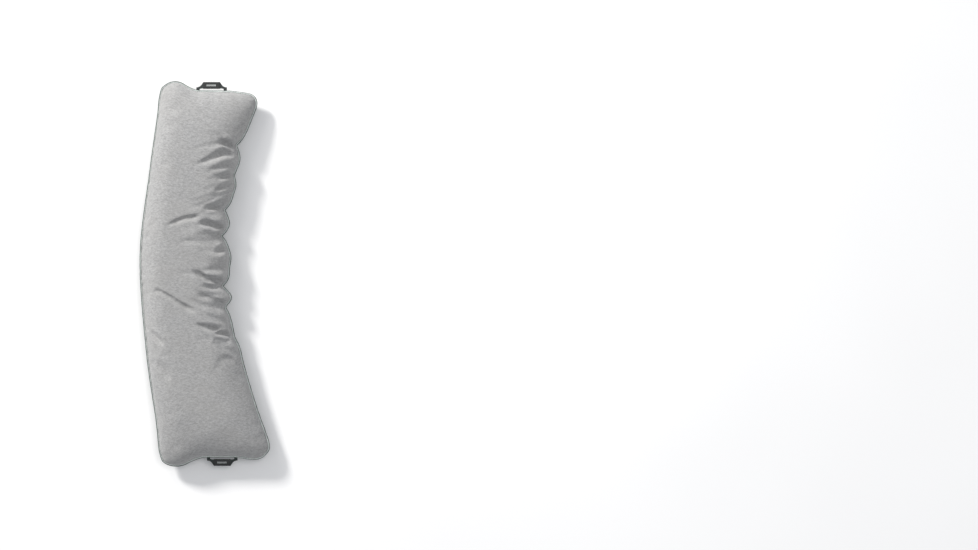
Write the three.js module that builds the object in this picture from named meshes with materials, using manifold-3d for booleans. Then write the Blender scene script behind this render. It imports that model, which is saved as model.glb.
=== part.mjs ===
// A camp pillow for the end of a hammock: a long, bowed, fibre-filled cushion in a removable cover.
//
// The cover is an upper and a base panel that meet at a piped seam all the way round. A zip in the base
// panel's outer flank lets the insert out. An elastic strap with a woven label crosses a notch in the seam
// at each short end, and hooks over the edge of what the pillow lies on.
//
// Millimetres, +Z up. +Y runs along the pillow to the sleeper's left, +X towards the sleeper's feet.
// The origin is below the middle of the pillow's box, on the surface it lies on.
import * as THREE from "three";
import { mergeVertices } from "three/addons/utils/BufferGeometryUtils.js";
import Module from "manifold-3d";

const wasm = await Module();
wasm.setup();

// ---- driving dimensions ----
const LENGTH = 1150; // seam to seam along Y, over the corner lobes
const WIDTH = 382; // seam to seam along X, over the bow
const SEAM_HEIGHT = 40; // the seam above the surface that the pillow lies on
const CROWN_HEIGHT = 98; // top of the cover above that surface
const FLANK_WIDTH = 48; // how far inside the seam the base panel leaves the surface
const GAP = 0.3; // clearance between pieces that touch

const COVER_CLOTH = 1.2;
const CASING_CLOTH = 1.0;
const INSERT_ROOM = 3.5; // loose space between the cover and the insert, above and below
const INSERT_INSET = { outer: 40, inner: 14, end: 20 }; // in plan, from the cover's seam

const PIPING_RADIUS = 2.2;
const WELT_RADIUS = 1.5;

// The zip sits on a flat strip of the base panel. The strip climbs from its foot, by `run` across and to
// `below` the seam, and stays flat for `beyond` the zip's window at each end.
const ZIP_FLAT = { run: 23, foot: 6, below: 6, beyond: 60, floor: 10 };
const ZIP_WINDOW = { length: 450, width: 13 };
const TAPE = { width: 13.5, thickness: 0.8, slit: 1.0, overhang: 15 };
const COIL = { width: 2.9, thickness: 2.1, slit: 0.7 };
const STOP_LENGTH = 4;
const STOP_PROUD = 0.4; // the stops stand above the coils
const SLIDER = { length: 14, plate: 1.2, flange: 1.2, post: 0.8, tail: 0.78, mouth: 0.6 };
const CROWN = { length: 8, width: 2.4, height: 3.2, wall: 1.1, topWall: 1.5 };
const PULL = { length: 24, width: 8.5, thickness: 1.4, bar: 1.3, hole: 2.1, cheek: 1.7, neck: 12 };

// `reach` is from the seam to the strap's near edge, in the middle and at its sewn ends.
const STRAP = { span: 92, width: 18.5, thickness: 1.6, reach: 11, endWidth: 8, endReach: 6.4, bend: 7 };
const STRAP_DROP = 7; // strap below the seam
const STRAP_SEAT = { left: 4.65, right: 5.6 }; // its sewn ends beyond the seam's furthest point under it
const LABEL = { length: 50, wall: 0.7, shoulder: 4 };
const TACK = { length: 10, depth: 4, height: 3, gap: 0.8 };

// ---- plan outline of the seam ----
// It is drawn for a seam of these half sizes, and stretched to the ones above.
const DRAWN = { halfWidth: 191, halfLength: 575 };
const HALF_W = WIDTH / 2;
const HALF_L = LENGTH / 2;
const inPlan = (x, y) =>
  new THREE.Vector2((x / DRAWN.halfWidth) * HALF_W, (y / DRAWN.halfLength) * HALF_L);
const curveThrough = (points) => new THREE.SplineCurve(points.map((p) => (p.isVector2 ? p : inPlan(...p))));

// Behind each strap the seam runs straight, from past one sewn end of the strap to past the other.
const NOTCH = { left: inPlan(20, 547), right: inPlan(52, -548) };
const besideNotch = (end, side, beyond, y) =>
  new THREE.Vector2(NOTCH[end].x + side * (STRAP.span / 2 + beyond), inPlan(0, y).y);

const OUTER_RIGHT = inPlan(-124, -563);
const OUTER_LEFT = inPlan(-126, 558);
const INNER_RIGHT = inPlan(184, -538);
const INNER_LEFT = inPlan(149, 529);
const outerEdge = curveThrough([
  OUTER_RIGHT, [-134, -528], [-143, -440], [-172, -235], [-191, 50], [-163, 300], [-138, 480], [-134, 525],
  OUTER_LEFT,
]);
const innerEdge = curveThrough([
  INNER_RIGHT, [190, -510], [152, -400], [108, -252], [72, -100], [68, 150], [98, 340], [140, 470],
  [154, 507], INNER_LEFT,
]);
const rightEnd = curveThrough([
  OUTER_RIGHT, [-96, -575], [-52, -569], besideNotch("right", -1, 28, -551), NOTCH.right,
  besideNotch("right", 1, 7, -549), [135, -554], [165, -553], INNER_RIGHT,
]);
const leftEnd = curveThrough([
  OUTER_LEFT, [-98, 574], [-62, 569], besideNotch("left", -1, 14, 551), NOTCH.left,
  besideNotch("left", 1, 9, 546), [115, 541], [137, 537], INNER_LEFT,
]);

// A point of the plan: u runs from the right end to the left, v from the outer edge to the inner, 0 to 1.
function planPoint(u, v) {
  const across = outerEdge.getPointAt(u).lerp(innerEdge.getPointAt(u), v);
  const along = rightEnd.getPointAt(v).lerp(leftEnd.getPointAt(v), u);
  const low = rightEnd.getPoint(0).lerp(rightEnd.getPoint(1), v);
  const high = leftEnd.getPoint(0).lerp(leftEnd.getPoint(1), v);
  return across.add(along).sub(low.lerp(high, u));
}

// Steps from 0 to 1 that close up towards both ends, where the cloth turns over.
const easedSteps = (count) =>
  Array.from({ length: count + 1 }, (_, i) => (1 + Math.sin((i / count - 0.5) * Math.PI)) / 2);

// The share of the outer edge's length at which it passes a given y, by halving.
function outerShareAt(y) {
  let low = 0;
  let high = 1;
  while (high - low > 1e-7) {
    const middle = (low + high) / 2;
    if (outerEdge.getPointAt(middle).y < y) low = middle;
    else high = middle;
  }
  return low;
}

// Rows along the pillow: even over the zip's flat strip, and closing up towards the two ends.
const ZIP_ZONE = ZIP_WINDOW.length / 2 + ZIP_FLAT.beyond;
function rowSteps(zoneRows, endRows) {
  const first = outerShareAt(-ZIP_ZONE);
  const last = outerShareAt(ZIP_ZONE);
  const ease = (i) => Math.sin(((i / endRows) * Math.PI) / 2);
  const rows = [];
  for (let i = 0; i < endRows; i++) rows.push(first * (1 - ease(endRows - i)));
  for (let i = 0; i <= zoneRows; i++) rows.push(THREE.MathUtils.lerp(first, last, i / zoneRows));
  for (let i = 1; i <= endRows; i++) rows.push(last + (1 - last) * ease(i));
  return rows;
}

// ---- heights ----
const fromMiddle = (t) => Math.abs(2 * t - 1);
const ROUNDNESS = { along: 8, across: 2.5 }; // 2 is a half circle, more is flatter on top
const roundOver = (t, power) => Math.sqrt(Math.max(0, 1 - fromMiddle(t) ** power));
const domeShare = (u, v) => roundOver(u, ROUNDNESS.along) * roundOver(v, ROUNDNESS.across);

// 0 where the base lies flat, 1 at the seam.
function flankShare(u, v) {
  const halfWidth = outerEdge.getPointAt(u).distanceTo(innerEdge.getPointAt(u)) / 2;
  const side = Math.max(0, 1 - ((1 - fromMiddle(v)) * halfWidth) / FLANK_WIDTH);
  const end = Math.max(0, 1 - ((1 - fromMiddle(u)) * HALF_L) / FLANK_WIDTH);
  return 1 - Math.sqrt(1 - Math.min(1, side * side + end * end));
}

const upperPoint = (u, v) => {
  const p = planPoint(u, v);
  return new THREE.Vector3(p.x, p.y, SEAM_HEIGHT + GAP / 2 + (CROWN_HEIGHT - SEAM_HEIGHT) * domeShare(u, v));
};
const basePoint = (u, v) => {
  const p = planPoint(u, v);
  return new THREE.Vector3(p.x, p.y, (SEAM_HEIGHT - GAP / 2) * flankShare(u, v));
};

// ---- the zip's own frame: x up across the zip, y along it, z out of the pillow ----
const stripHeadX = Math.max(...[-ZIP_ZONE, ZIP_ZONE].map((y) => outerEdge.getPointAt(outerShareAt(y)).x));
const stripFoot = new THREE.Vector3(stripHeadX + ZIP_FLAT.run, 0, ZIP_FLAT.foot);
const stripHead = new THREE.Vector3(stripHeadX, 0, SEAM_HEIGHT - ZIP_FLAT.below);
const zipAcross = stripHead.clone().sub(stripFoot).normalize();
const zipAlong = new THREE.Vector3(0, 1, 0);
const zipFrame = new THREE.Matrix4()
  .makeBasis(zipAcross, zipAlong, zipAcross.clone().cross(zipAlong))
  .setPosition(stripFoot.clone().lerp(stripHead, 0.5));

// ---- meshes from grids of points ----
// A closed mesh from two grids that share their outline: `front` faces the way its rows and columns turn.
function skinBetween(front, back) {
  const rows = front.length;
  const columns = front[0].length;
  const positions = [];
  for (const p of [front, back].flat(2)) positions.push(p.x, p.y, p.z);
  const at = (layer, i, j) => (layer * rows + i) * columns + j;
  const index = [];
  const quad = (a, b, c, d) => index.push(a, b, c, a, c, d);
  for (let i = 0; i < rows - 1; i++)
    for (let j = 0; j < columns - 1; j++) {
      quad(at(0, i, j), at(0, i, j + 1), at(0, i + 1, j + 1), at(0, i + 1, j));
      quad(at(1, i, j), at(1, i + 1, j), at(1, i + 1, j + 1), at(1, i, j + 1));
    }
  for (let i = 0; i < rows - 1; i++) {
    quad(at(0, i, 0), at(0, i + 1, 0), at(1, i + 1, 0), at(1, i, 0));
    quad(at(0, i, columns - 1), at(1, i, columns - 1), at(1, i + 1, columns - 1), at(0, i + 1, columns - 1));
  }
  for (let j = 0; j < columns - 1; j++) {
    quad(at(0, 0, j), at(1, 0, j), at(1, 0, j + 1), at(0, 0, j + 1));
    quad(at(0, rows - 1, j), at(0, rows - 1, j + 1), at(1, rows - 1, j + 1), at(1, rows - 1, j));
  }
  const geometry = new THREE.BufferGeometry();
  geometry.setAttribute("position", new THREE.Float32BufferAttribute(positions, 3));
  geometry.setIndex(index);
  return geometry;
}

// A grid moved along its own normals, by `distance`, to the side of the seam's level that it is on. Its rim
// moves level, so that two panels can meet there. Normals point up for +X columns and +Y rows.
function offsetGrid(grid, distance) {
  const rows = grid.length - 1;
  const columns = grid[0].length - 1;
  const level = grid[0][0].z;
  const keepSide = distance < 0 ? Math.max : Math.min;
  return grid.map((row, i) =>
    row.map((p, j) => {
      const alongX = row[Math.min(j + 1, columns)].clone().sub(row[Math.max(j - 1, 0)]);
      const alongY = grid[Math.min(i + 1, rows)][j].clone().sub(grid[Math.max(i - 1, 0)][j]);
      const normal = alongX.cross(alongY);
      if (i === 0 || j === 0 || i === rows || j === columns) normal.z = 0;
      const moved = p.clone().addScaledVector(normal.normalize(), distance);
      moved.z = keepSide(moved.z, level);
      return moved;
    }),
  );
}

const gridOf = (us, vs, pointAt) => us.map((u) => vs.map((v) => pointAt(u, v)));

// A tube along a closed loop of points that lies level, with its section's first point outwards.
function ringTube(loop, radius, sides) {
  const positions = [];
  const count = loop.length;
  loop.forEach((p, i) => {
    const along = loop[(i + 1) % count].clone().sub(loop[(i + count - 1) % count]).normalize();
    const out = new THREE.Vector3(along.y, -along.x, 0);
    for (let k = 0; k < sides; k++) {
      const a = (k / sides) * 2 * Math.PI;
      const q = p.clone().addScaledVector(out, radius * Math.cos(a));
      positions.push(q.x, q.y, q.z + radius * Math.sin(a));
    }
  });
  const index = [];
  for (let i = 0; i < count; i++)
    for (let k = 0; k < sides; k++) {
      const [a, b] = [i * sides + k, i * sides + ((k + 1) % sides)];
      const [c, d] = [((i + 1) % count) * sides + k, ((i + 1) % count) * sides + ((k + 1) % sides)];
      index.push(a, c, b, b, c, d);
    }
  const geometry = new THREE.BufferGeometry();
  geometry.setAttribute("position", new THREE.Float32BufferAttribute(positions, 3));
  geometry.setIndex(index);
  return geometry;
}

// ---- joins and cuts ----
function toSolid(geometry) {
  const bare = geometry.clone();
  bare.deleteAttribute("normal");
  bare.deleteAttribute("uv");
  const merged = mergeVertices(bare, 1e-4);
  return new wasm.Manifold(
    new wasm.Mesh({
      numProp: 3,
      vertProperties: new Float32Array(merged.attributes.position.array),
      triVerts: new Uint32Array(merged.index.array),
    }),
  );
}
function toGeometry(solid) {
  const mesh = solid.getMesh();
  const geometry = new THREE.BufferGeometry();
  geometry.setAttribute("position", new THREE.BufferAttribute(new Float32Array(mesh.vertProperties), 3));
  geometry.setIndex(new THREE.BufferAttribute(new Uint32Array(mesh.triVerts), 1));
  return geometry;
}
const joined = (...parts) => toGeometry(parts.map(toSolid).reduce((a, b) => a.add(b)));

// A box between two corners.
function box(x0, x1, y0, y1, z0, z1) {
  const geometry = new THREE.BoxGeometry(x1 - x0, y1 - y0, z1 - z0);
  return geometry.translate((x0 + x1) / 2, (y0 + y1) / 2, (z0 + z1) / 2);
}

// ---- materials ----
const cloth = (color, roughness = 0.95) => new THREE.MeshStandardMaterial({ color, roughness, metalness: 0 });
const materials = {
  upperCloth: cloth(0xb2b1b1),
  baseCloth: cloth(0x4b5350, 0.8),
  pipingCloth: cloth(0x566059, 0.85),
  weltCloth: cloth(0xcdd2cf),
  ticking: cloth(0xe9e6df),
  fibre: cloth(0xf4f3ef),
  zipTape: cloth(0x2e3231),
  zipNylon: new THREE.MeshStandardMaterial({ color: 0x35393a, roughness: 0.45, metalness: 0 }),
  zipMetal: new THREE.MeshStandardMaterial({ color: 0x3c3f42, roughness: 0.35, metalness: 1 }),
  webbing: cloth(0x2b302f),
  label: cloth(0x17191a, 0.7),
  thread: cloth(0x1f2322, 0.7),
};

const pillow = new THREE.Group();
function addPiece(name, geometry, material, parent = pillow) {
  const mesh = new THREE.Mesh(geometry, material);
  mesh.name = name;
  parent.add(mesh);
  return mesh;
}

// ---- cover ----
const COVER_ROWS = rowSteps(10, 9);
const COVER_COLUMNS = easedSteps(14);

function buildUpperPanel() {
  const outside = gridOf(COVER_ROWS, COVER_COLUMNS, upperPoint);
  return skinBetween(outside, offsetGrid(outside, -COVER_CLOTH));
}

// Over the zip, the outer flank's columns after the seam line up: strip's head, strip's foot, flat floor.
const FLANK_COLUMNS = 8; // columns that move; the next one stays
function flattenForZip(grid) {
  const floorX = stripFoot.x + ZIP_FLAT.floor;
  const faded = ZIP_ZONE * 1.25; // the flank is back to its own shape here
  for (const row of grid) {
    const share = 1 - THREE.MathUtils.smoothstep(Math.abs(row[0].y), ZIP_ZONE + 1, faded);
    const lineUp = (p, x, z) => {
      p.x = THREE.MathUtils.lerp(p.x, x, share);
      p.z = THREE.MathUtils.lerp(p.z, z, share);
    };
    lineUp(row[1], stripHead.x, stripHead.z);
    lineUp(row[2], stripFoot.x, stripFoot.z);
    for (let j = 3; j < FLANK_COLUMNS; j++) {
      lineUp(row[j], THREE.MathUtils.lerp(floorX, row[FLANK_COLUMNS].x, (j - 3) / (FLANK_COLUMNS - 3)), 0);
    }
  }
  return grid;
}

function buildBasePanel() {
  const outside = flattenForZip(gridOf(COVER_ROWS, COVER_COLUMNS, basePoint));
  const shell = skinBetween(offsetGrid(outside, COVER_CLOTH), outside);
  const [across, along, through] = [ZIP_WINDOW.width / 2, ZIP_WINDOW.length / 2, 5 * COVER_CLOTH];
  const window = box(-across, across, -along, along, -through, through).applyMatrix4(zipFrame);
  return toGeometry(toSolid(shell).subtract(toSolid(window)));
}

// The panels' rim, pushed out of the cover and up or down, as a closed loop that runs clockwise from above.
function seamLoop(out, rise) {
  const back = (steps) => steps.slice().reverse();
  const line = [
    ...COVER_ROWS.map((u) => innerEdge.getPointAt(u)).reverse(),
    ...back(COVER_COLUMNS).slice(1).map((v) => rightEnd.getPointAt(v)),
    ...COVER_ROWS.slice(1).map((u) => outerEdge.getPointAt(u)),
    ...COVER_COLUMNS.slice(1, -1).map((v) => leftEnd.getPointAt(v)),
  ];
  const count = line.length;
  return line.map((p, i) => {
    const before = p.clone().sub(line[(i + count - 1) % count]).normalize();
    const after = line[(i + 1) % count].clone().sub(p).normalize();
    const along = before.clone().add(after).normalize();
    const reach = out / before.dot(along); // keeps both neighbouring stretches at the full distance
    return new THREE.Vector3(p.x - along.y * reach, p.y + along.x * reach, SEAM_HEIGHT + rise);
  });
}

// The piping hides the seam from the side and hangs below it; the welt lies on the piping.
const PIPING_OUT = PIPING_RADIUS + 2 * GAP;
const PIPING_RISE = -PIPING_RADIUS * 0.7;
const WELT_OUT = WELT_RADIUS + GAP;
const WELT_RISE = PIPING_RISE + PIPING_RADIUS + WELT_RADIUS + 2 * GAP;
const pipe = (out, rise, radius) => ringTube(seamLoop(out, rise), radius, 6);
addPiece("cover_top_panel", buildUpperPanel(), materials.upperCloth);
addPiece("cover_base_panel", buildBasePanel(), materials.baseCloth);
addPiece("seam_piping", pipe(PIPING_OUT, PIPING_RISE, PIPING_RADIUS), materials.pipingCloth);
addPiece("top_seam_welt", pipe(WELT_OUT, WELT_RISE, WELT_RADIUS), materials.weltCloth);

// ---- insert ----
// The insert's plan is the cover's, drawn in by its insets. `depth` is how far a layer lies inside the
// insert, and `lift` holds its two halves apart.
function insertPoint(u, v, side, depth, lift) {
  const width = outerEdge.getPointAt(u).distanceTo(innerEdge.getPointAt(u));
  const end = (INSERT_INSET.end + depth) / LENGTH;
  const outer = (INSERT_INSET.outer + depth) / width;
  const inner = (INSERT_INSET.inner + depth) / width;
  const p = planPoint(THREE.MathUtils.lerp(end, 1 - end, u), THREE.MathUtils.lerp(outer, 1 - inner, v));
  const share = side > 0 ? domeShare(u, v) : flankShare(u, v) - 1;
  const room = COVER_CLOTH + INSERT_ROOM + depth;
  const reach = side > 0 ? CROWN_HEIGHT - SEAM_HEIGHT - room : SEAM_HEIGHT - room;
  return new THREE.Vector3(p.x, p.y, SEAM_HEIGHT + side * lift + reach * share);
}
const INSERT_ROWS = easedSteps(20);
const INSERT_COLUMNS = easedSteps(10);
const insertGrid = (side, depth, lift) =>
  gridOf(INSERT_ROWS, INSERT_COLUMNS, (u, v) => insertPoint(u, v, side, depth, lift));
const FILL_DEPTH = CASING_CLOTH + 2 * GAP;

const casingTop = skinBetween(insertGrid(1, 0, GAP / 2), insertGrid(1, CASING_CLOTH, GAP / 2));
const casingBase = skinBetween(insertGrid(-1, CASING_CLOTH, GAP / 2), insertGrid(-1, 0, GAP / 2));
addPiece("insert_casing_top", casingTop, materials.ticking);
addPiece("insert_casing_base", casingBase, materials.ticking);
const fill = skinBetween(insertGrid(1, FILL_DEPTH, 0), insertGrid(-1, FILL_DEPTH, 0));
addPiece("fibre_fill", fill, materials.fibre);

// ---- zip ----
const zip = new THREE.Group();
zip.applyMatrix4(zipFrame);
pillow.add(zip);

const tapeTop = -COVER_CLOTH - GAP;
const tapeBottom = tapeTop - TAPE.thickness;
const tapeHalf = ZIP_WINDOW.length / 2 + TAPE.overhang;
const coilBottom = tapeTop + GAP;
const coilTop = coilBottom + COIL.thickness;
const coilHalf = ZIP_WINDOW.length / 2 - STOP_LENGTH - 1;
const coilOuter = COIL.slit + COIL.width;
const stopStart = coilHalf + GAP;
const stopTop = coilTop + STOP_PROUD;

for (const [side, name] of [[1, "outer"], [-1, "inner"]]) {
  const half = (near, far, ...rest) => box(...(side > 0 ? [near, far] : [-far, -near]), ...rest);
  const tape = half(TAPE.slit, TAPE.slit + TAPE.width, -tapeHalf, tapeHalf, tapeBottom, tapeTop);
  const coil = half(COIL.slit, coilOuter, -coilHalf, coilHalf, coilBottom, coilTop);
  const stop = half(COIL.slit, coilOuter, stopStart, stopStart + STOP_LENGTH, coilBottom, stopTop);
  addPiece("zip_tape_" + name, tape, materials.zipTape, zip);
  addPiece("zip_coil_" + name, coil, materials.zipNylon, zip);
  addPiece("zip_top_stop_" + name, stop, materials.zipMetal, zip);
}
const bottomStop = box(-coilOuter, coilOuter, -stopStart - STOP_LENGTH, -stopStart, coilBottom, stopTop);
addPiece("zip_bottom_stop", bottomStop, materials.zipMetal, zip);

// The slider rests at its closed end, at the sleeper's left.
const sliderHalf = SLIDER.length / 2;
const sliderRest = coilHalf - sliderHalf;
const bodyTop = coilTop + GAP + SLIDER.plate;
const bodyHalf = coilOuter + GAP + SLIDER.flange;
const flange = { start: -sliderHalf * 0.3, end: sliderHalf * 0.75 }; // along the zip

// A slider plate: widest along its flanges, narrower at its tail and at its mouth.
function sliderPlate(bottom, top) {
  const tail = bodyHalf * SLIDER.tail;
  const mouth = bodyHalf * SLIDER.mouth;
  const widest = [[bodyHalf, flange.start], [bodyHalf, flange.end]];
  const oneSide = [[tail, -sliderHalf], ...widest, [mouth, sliderHalf]];
  const otherSide = oneSide.map(([x, y]) => [-x, y]).reverse();
  const shape = new THREE.Shape([...oneSide, ...otherSide].map(([x, y]) => new THREE.Vector2(x, y)));
  const plate = new THREE.ExtrudeGeometry(shape, { depth: top - bottom, bevelEnabled: false });
  return plate.translate(0, 0, bottom);
}

// The arch on the slider that the pull hangs from, drawn in side view and extruded across the zip.
const SUNK = 0.05; // how far joined shapes run into each other
function sliderCrown() {
  const half = CROWN.length / 2;
  const inner = half - CROWN.wall;
  const shoulder = CROWN.height - half / 2;
  const arch = new THREE.Shape();
  arch.moveTo(-half, 0);
  arch.lineTo(-half, shoulder);
  arch.quadraticCurveTo(-half, CROWN.height, 0, CROWN.height);
  arch.quadraticCurveTo(half, CROWN.height, half, shoulder);
  arch.lineTo(half, 0);
  arch.lineTo(inner, 0);
  arch.lineTo(inner, CROWN.height - CROWN.topWall);
  arch.lineTo(-inner, CROWN.height - CROWN.topWall);
  arch.lineTo(-inner, 0);
  const settings = { depth: CROWN.width, bevelEnabled: false, curveSegments: 4 };
  const solid = new THREE.ExtrudeGeometry(arch, settings);
  // The drawing's x runs along the zip, its y out of it, and its depth across it.
  const [across, along, out] = [0, 1, 2].map((axis) => new THREE.Vector3().setComponent(axis, 1));
  solid.applyMatrix4(new THREE.Matrix4().makeBasis(along, out, across));
  return solid.translate(-CROWN.width / 2, 0, bodyTop - SUNK);
}

function buildSlider() {
  const lowerTop = tapeBottom - GAP;
  const flangeFoot = tapeTop + GAP;
  const post = SLIDER.post / 2;
  return joined(
    sliderPlate(coilTop + GAP, bodyTop),
    sliderPlate(lowerTop - SLIDER.plate, lowerTop),
    box(bodyHalf - SLIDER.flange, bodyHalf, flange.start, flange.end, flangeFoot, bodyTop),
    box(-bodyHalf, -bodyHalf + SLIDER.flange, flange.start, flange.end, flangeFoot, bodyTop),
    box(-post, post, sliderHalf * 0.25, sliderHalf * 0.8, lowerTop - SUNK, coilTop + GAP + SUNK),
    sliderCrown(),
  );
}

// The pull: a hinge bar under the crown, two cheeks and a grip with a hole. It is drawn lying back along the
// zip, with its bar at its origin.
function buildPull() {
  const eye = CROWN.width / 2 + 2 * GAP;
  const eyeEnd = CROWN.length / 2 + 2;
  const cheekOut = eye + PULL.cheek;
  const bar = PULL.bar / 2;
  const gripHalf = PULL.width / 2;
  const roundAt = gripHalf - PULL.length;
  const grip = new THREE.Shape();
  grip.moveTo(-cheekOut, -eyeEnd);
  grip.lineTo(-gripHalf, -PULL.neck);
  grip.lineTo(-gripHalf, roundAt);
  grip.absarc(0, roundAt, gripHalf, Math.PI, 2 * Math.PI, false);
  grip.lineTo(gripHalf, -PULL.neck);
  grip.lineTo(cheekOut, -eyeEnd);
  grip.holes.push(new THREE.Path().absarc(0, roundAt, PULL.hole, 0, 2 * Math.PI, true));
  const settings = { depth: PULL.thickness, bevelEnabled: false, curveSegments: 8 };
  const plate = new THREE.ExtrudeGeometry(grip, settings);
  const hingeBar = new THREE.CylinderGeometry(bar, bar, 2 * (eye + SUNK), 12).rotateZ(Math.PI / 2);
  return joined(
    plate.translate(0, 0, -PULL.thickness / 2),
    box(-cheekOut, -eye, -eyeEnd - SUNK, bar, -bar, bar),
    box(eye, cheekOut, -eyeEnd - SUNK, bar, -bar, bar),
    hingeBar,
  );
}
const pullHeight = bodyTop + GAP + PULL.bar / 2;
addPiece("zip_slider", buildSlider(), materials.zipMetal, zip).position.y = sliderRest;
const pull = addPiece("zip_pull_tab", buildPull(), materials.zipMetal, zip);
pull.position.set(0, sliderRest, pullHeight);
pull.rotation.x = -Math.PI / 2; // it hangs straight out of the zip

// ---- end straps ----
// The strap's outline: narrow sewn ends, and a straight middle that the label wraps. Y runs away from the
// seam.
function strapShape() {
  const half = STRAP.span / 2;
  const straight = LABEL.length / 2 + LABEL.shoulder;
  const out = STRAP.reach + STRAP.width;
  const endOut = STRAP.endReach + STRAP.endWidth;
  const bend = STRAP.bend;
  const shape = new THREE.Shape();
  shape.moveTo(-half, STRAP.endReach);
  shape.bezierCurveTo(-half + bend, STRAP.endReach, -straight - bend, STRAP.reach, -straight, STRAP.reach);
  shape.lineTo(straight, STRAP.reach);
  shape.bezierCurveTo(straight + bend, STRAP.reach, half - bend, STRAP.endReach, half, STRAP.endReach);
  shape.lineTo(half, endOut);
  shape.bezierCurveTo(half - bend / 2, out - bend, straight + bend, out, straight, out);
  shape.lineTo(-straight, out);
  shape.bezierCurveTo(-straight - bend, out, -half + bend / 2, out - bend, -half, endOut);
  shape.closePath();
  return shape;
}

// The label is a flat sleeve round the strap's middle.
function buildLabel() {
  const half = LABEL.length / 2;
  const sleeve = (reach, room) => box(-reach, reach, STRAP.reach - room, STRAP.reach + STRAP.width + room,
    -STRAP.thickness / 2 - room, STRAP.thickness / 2 + room);
  return toGeometry(toSolid(sleeve(half, GAP + LABEL.wall)).subtract(toSolid(sleeve(half + 1, GAP))));
}

// A bar tack holds each end of a strap to the cover.
function buildTack(side) {
  const x = side * (STRAP.span - TACK.length) / 2;
  const y = STRAP.endReach - TACK.gap - TACK.depth;
  return box(x - TACK.length / 2, x + TACK.length / 2, y, y + TACK.depth, -TACK.height / 2, TACK.height / 2);
}

// How far the seam comes out past its notch, within a strap's span.
function seamReach(name, edge, out) {
  const rim = COVER_COLUMNS.map((v) => edge.getPointAt(v));
  const shares = Array.from({ length: 40 }, (_, i) => i / 40);
  const steps = rim.slice(1).flatMap((p, i) => shares.map((share) => rim[i].clone().lerp(p, share)));
  const under = steps.filter((p) => Math.abs(p.x - NOTCH[name].x) <= STRAP.span / 2);
  return Math.max(...under.map((p) => out * (p.y - NOTCH[name].y)));
}

const strapEnds = {
  left: { edge: leftEnd, out: 1, turn: 0, tacks: { outer: -1, inner: 1 } },
  right: { edge: rightEnd, out: -1, turn: Math.PI, tacks: { outer: 1, inner: -1 } },
};
for (const [name, { edge, out, turn, tacks }] of Object.entries(strapEnds)) {
  const end = new THREE.Group();
  const seat = seamReach(name, edge, out) + STRAP_SEAT[name] - STRAP.endReach;
  end.position.set(NOTCH[name].x, NOTCH[name].y + out * seat, SEAM_HEIGHT - STRAP_DROP);
  end.rotation.z = turn;
  pillow.add(end);
  const settings = { depth: STRAP.thickness, bevelEnabled: false, curveSegments: 5 };
  const band = new THREE.ExtrudeGeometry(strapShape(), settings).translate(0, 0, -STRAP.thickness / 2);
  addPiece(name + "_end_strap", band, materials.webbing, end);
  addPiece(name + "_strap_label", buildLabel(), materials.label, end);
  for (const [where, side] of Object.entries(tacks)) {
    addPiece(name + "_strap_tack_" + where, buildTack(side), materials.thread, end);
  }
}

// ---- the origin is below the middle of the box ----
const bounds = new THREE.Box3().setFromObject(pillow, true);
pillow.position.set(-(bounds.min.x + bounds.max.x) / 2, -(bounds.min.y + bounds.max.y) / 2, -bounds.min.z);

export default pillow;
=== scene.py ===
# Camp pillow: the looks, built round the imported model. Metres, +Z up, +Y along the pillow.
import math

import bmesh
import bpy
import numpy as np
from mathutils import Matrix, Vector


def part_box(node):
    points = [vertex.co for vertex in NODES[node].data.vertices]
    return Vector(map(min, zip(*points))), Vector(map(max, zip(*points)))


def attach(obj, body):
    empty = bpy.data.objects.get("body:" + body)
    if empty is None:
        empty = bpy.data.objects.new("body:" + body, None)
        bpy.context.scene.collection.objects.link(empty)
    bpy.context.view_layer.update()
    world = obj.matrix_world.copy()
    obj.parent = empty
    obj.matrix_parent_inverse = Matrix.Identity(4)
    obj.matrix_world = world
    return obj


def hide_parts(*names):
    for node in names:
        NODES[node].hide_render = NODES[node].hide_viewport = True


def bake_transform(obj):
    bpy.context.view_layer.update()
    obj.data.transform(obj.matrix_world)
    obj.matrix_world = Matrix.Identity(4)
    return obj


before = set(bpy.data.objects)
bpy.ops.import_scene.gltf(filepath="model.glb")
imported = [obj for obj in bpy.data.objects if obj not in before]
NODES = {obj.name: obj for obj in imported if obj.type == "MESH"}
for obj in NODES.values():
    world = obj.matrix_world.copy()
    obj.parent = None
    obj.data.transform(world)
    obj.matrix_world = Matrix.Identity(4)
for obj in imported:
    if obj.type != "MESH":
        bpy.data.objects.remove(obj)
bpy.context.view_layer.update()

MM = 0.001

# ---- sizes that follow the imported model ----
TOP_LO, TOP_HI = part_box("cover_top_panel")
BASE_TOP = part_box("cover_base_panel")[1].z
SEAM_Z = (TOP_LO.z + BASE_TOP) / 2
CROWN_Z = TOP_HI.z
CLOTH = 1.2 * MM
FLANK = 48 * MM
PERIMETER = 2.92  # of the seam
# The zip lies on a flat strip of the outer flank, which leans by the direction that points up across it.
TAPE_LO, TAPE_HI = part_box("zip_tape_outer")
ZIP_Y = (TAPE_LO.y + TAPE_HI.y) / 2
ACROSS = np.array((-0.634743, 0, 0.772725))
OUT = np.array((-0.772725, 0, -0.634743))
STRIP_ORIGIN = np.array([-0.1538, ZIP_Y, 0.020])
STRIP_HALF = 18.1 * MM
WINDOW_LENGTH = 450 * MM
WINDOW_HALF = 6.5 * MM
ZONE = WINDOW_LENGTH / 2 + 60 * MM  # half the strip's length


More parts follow.
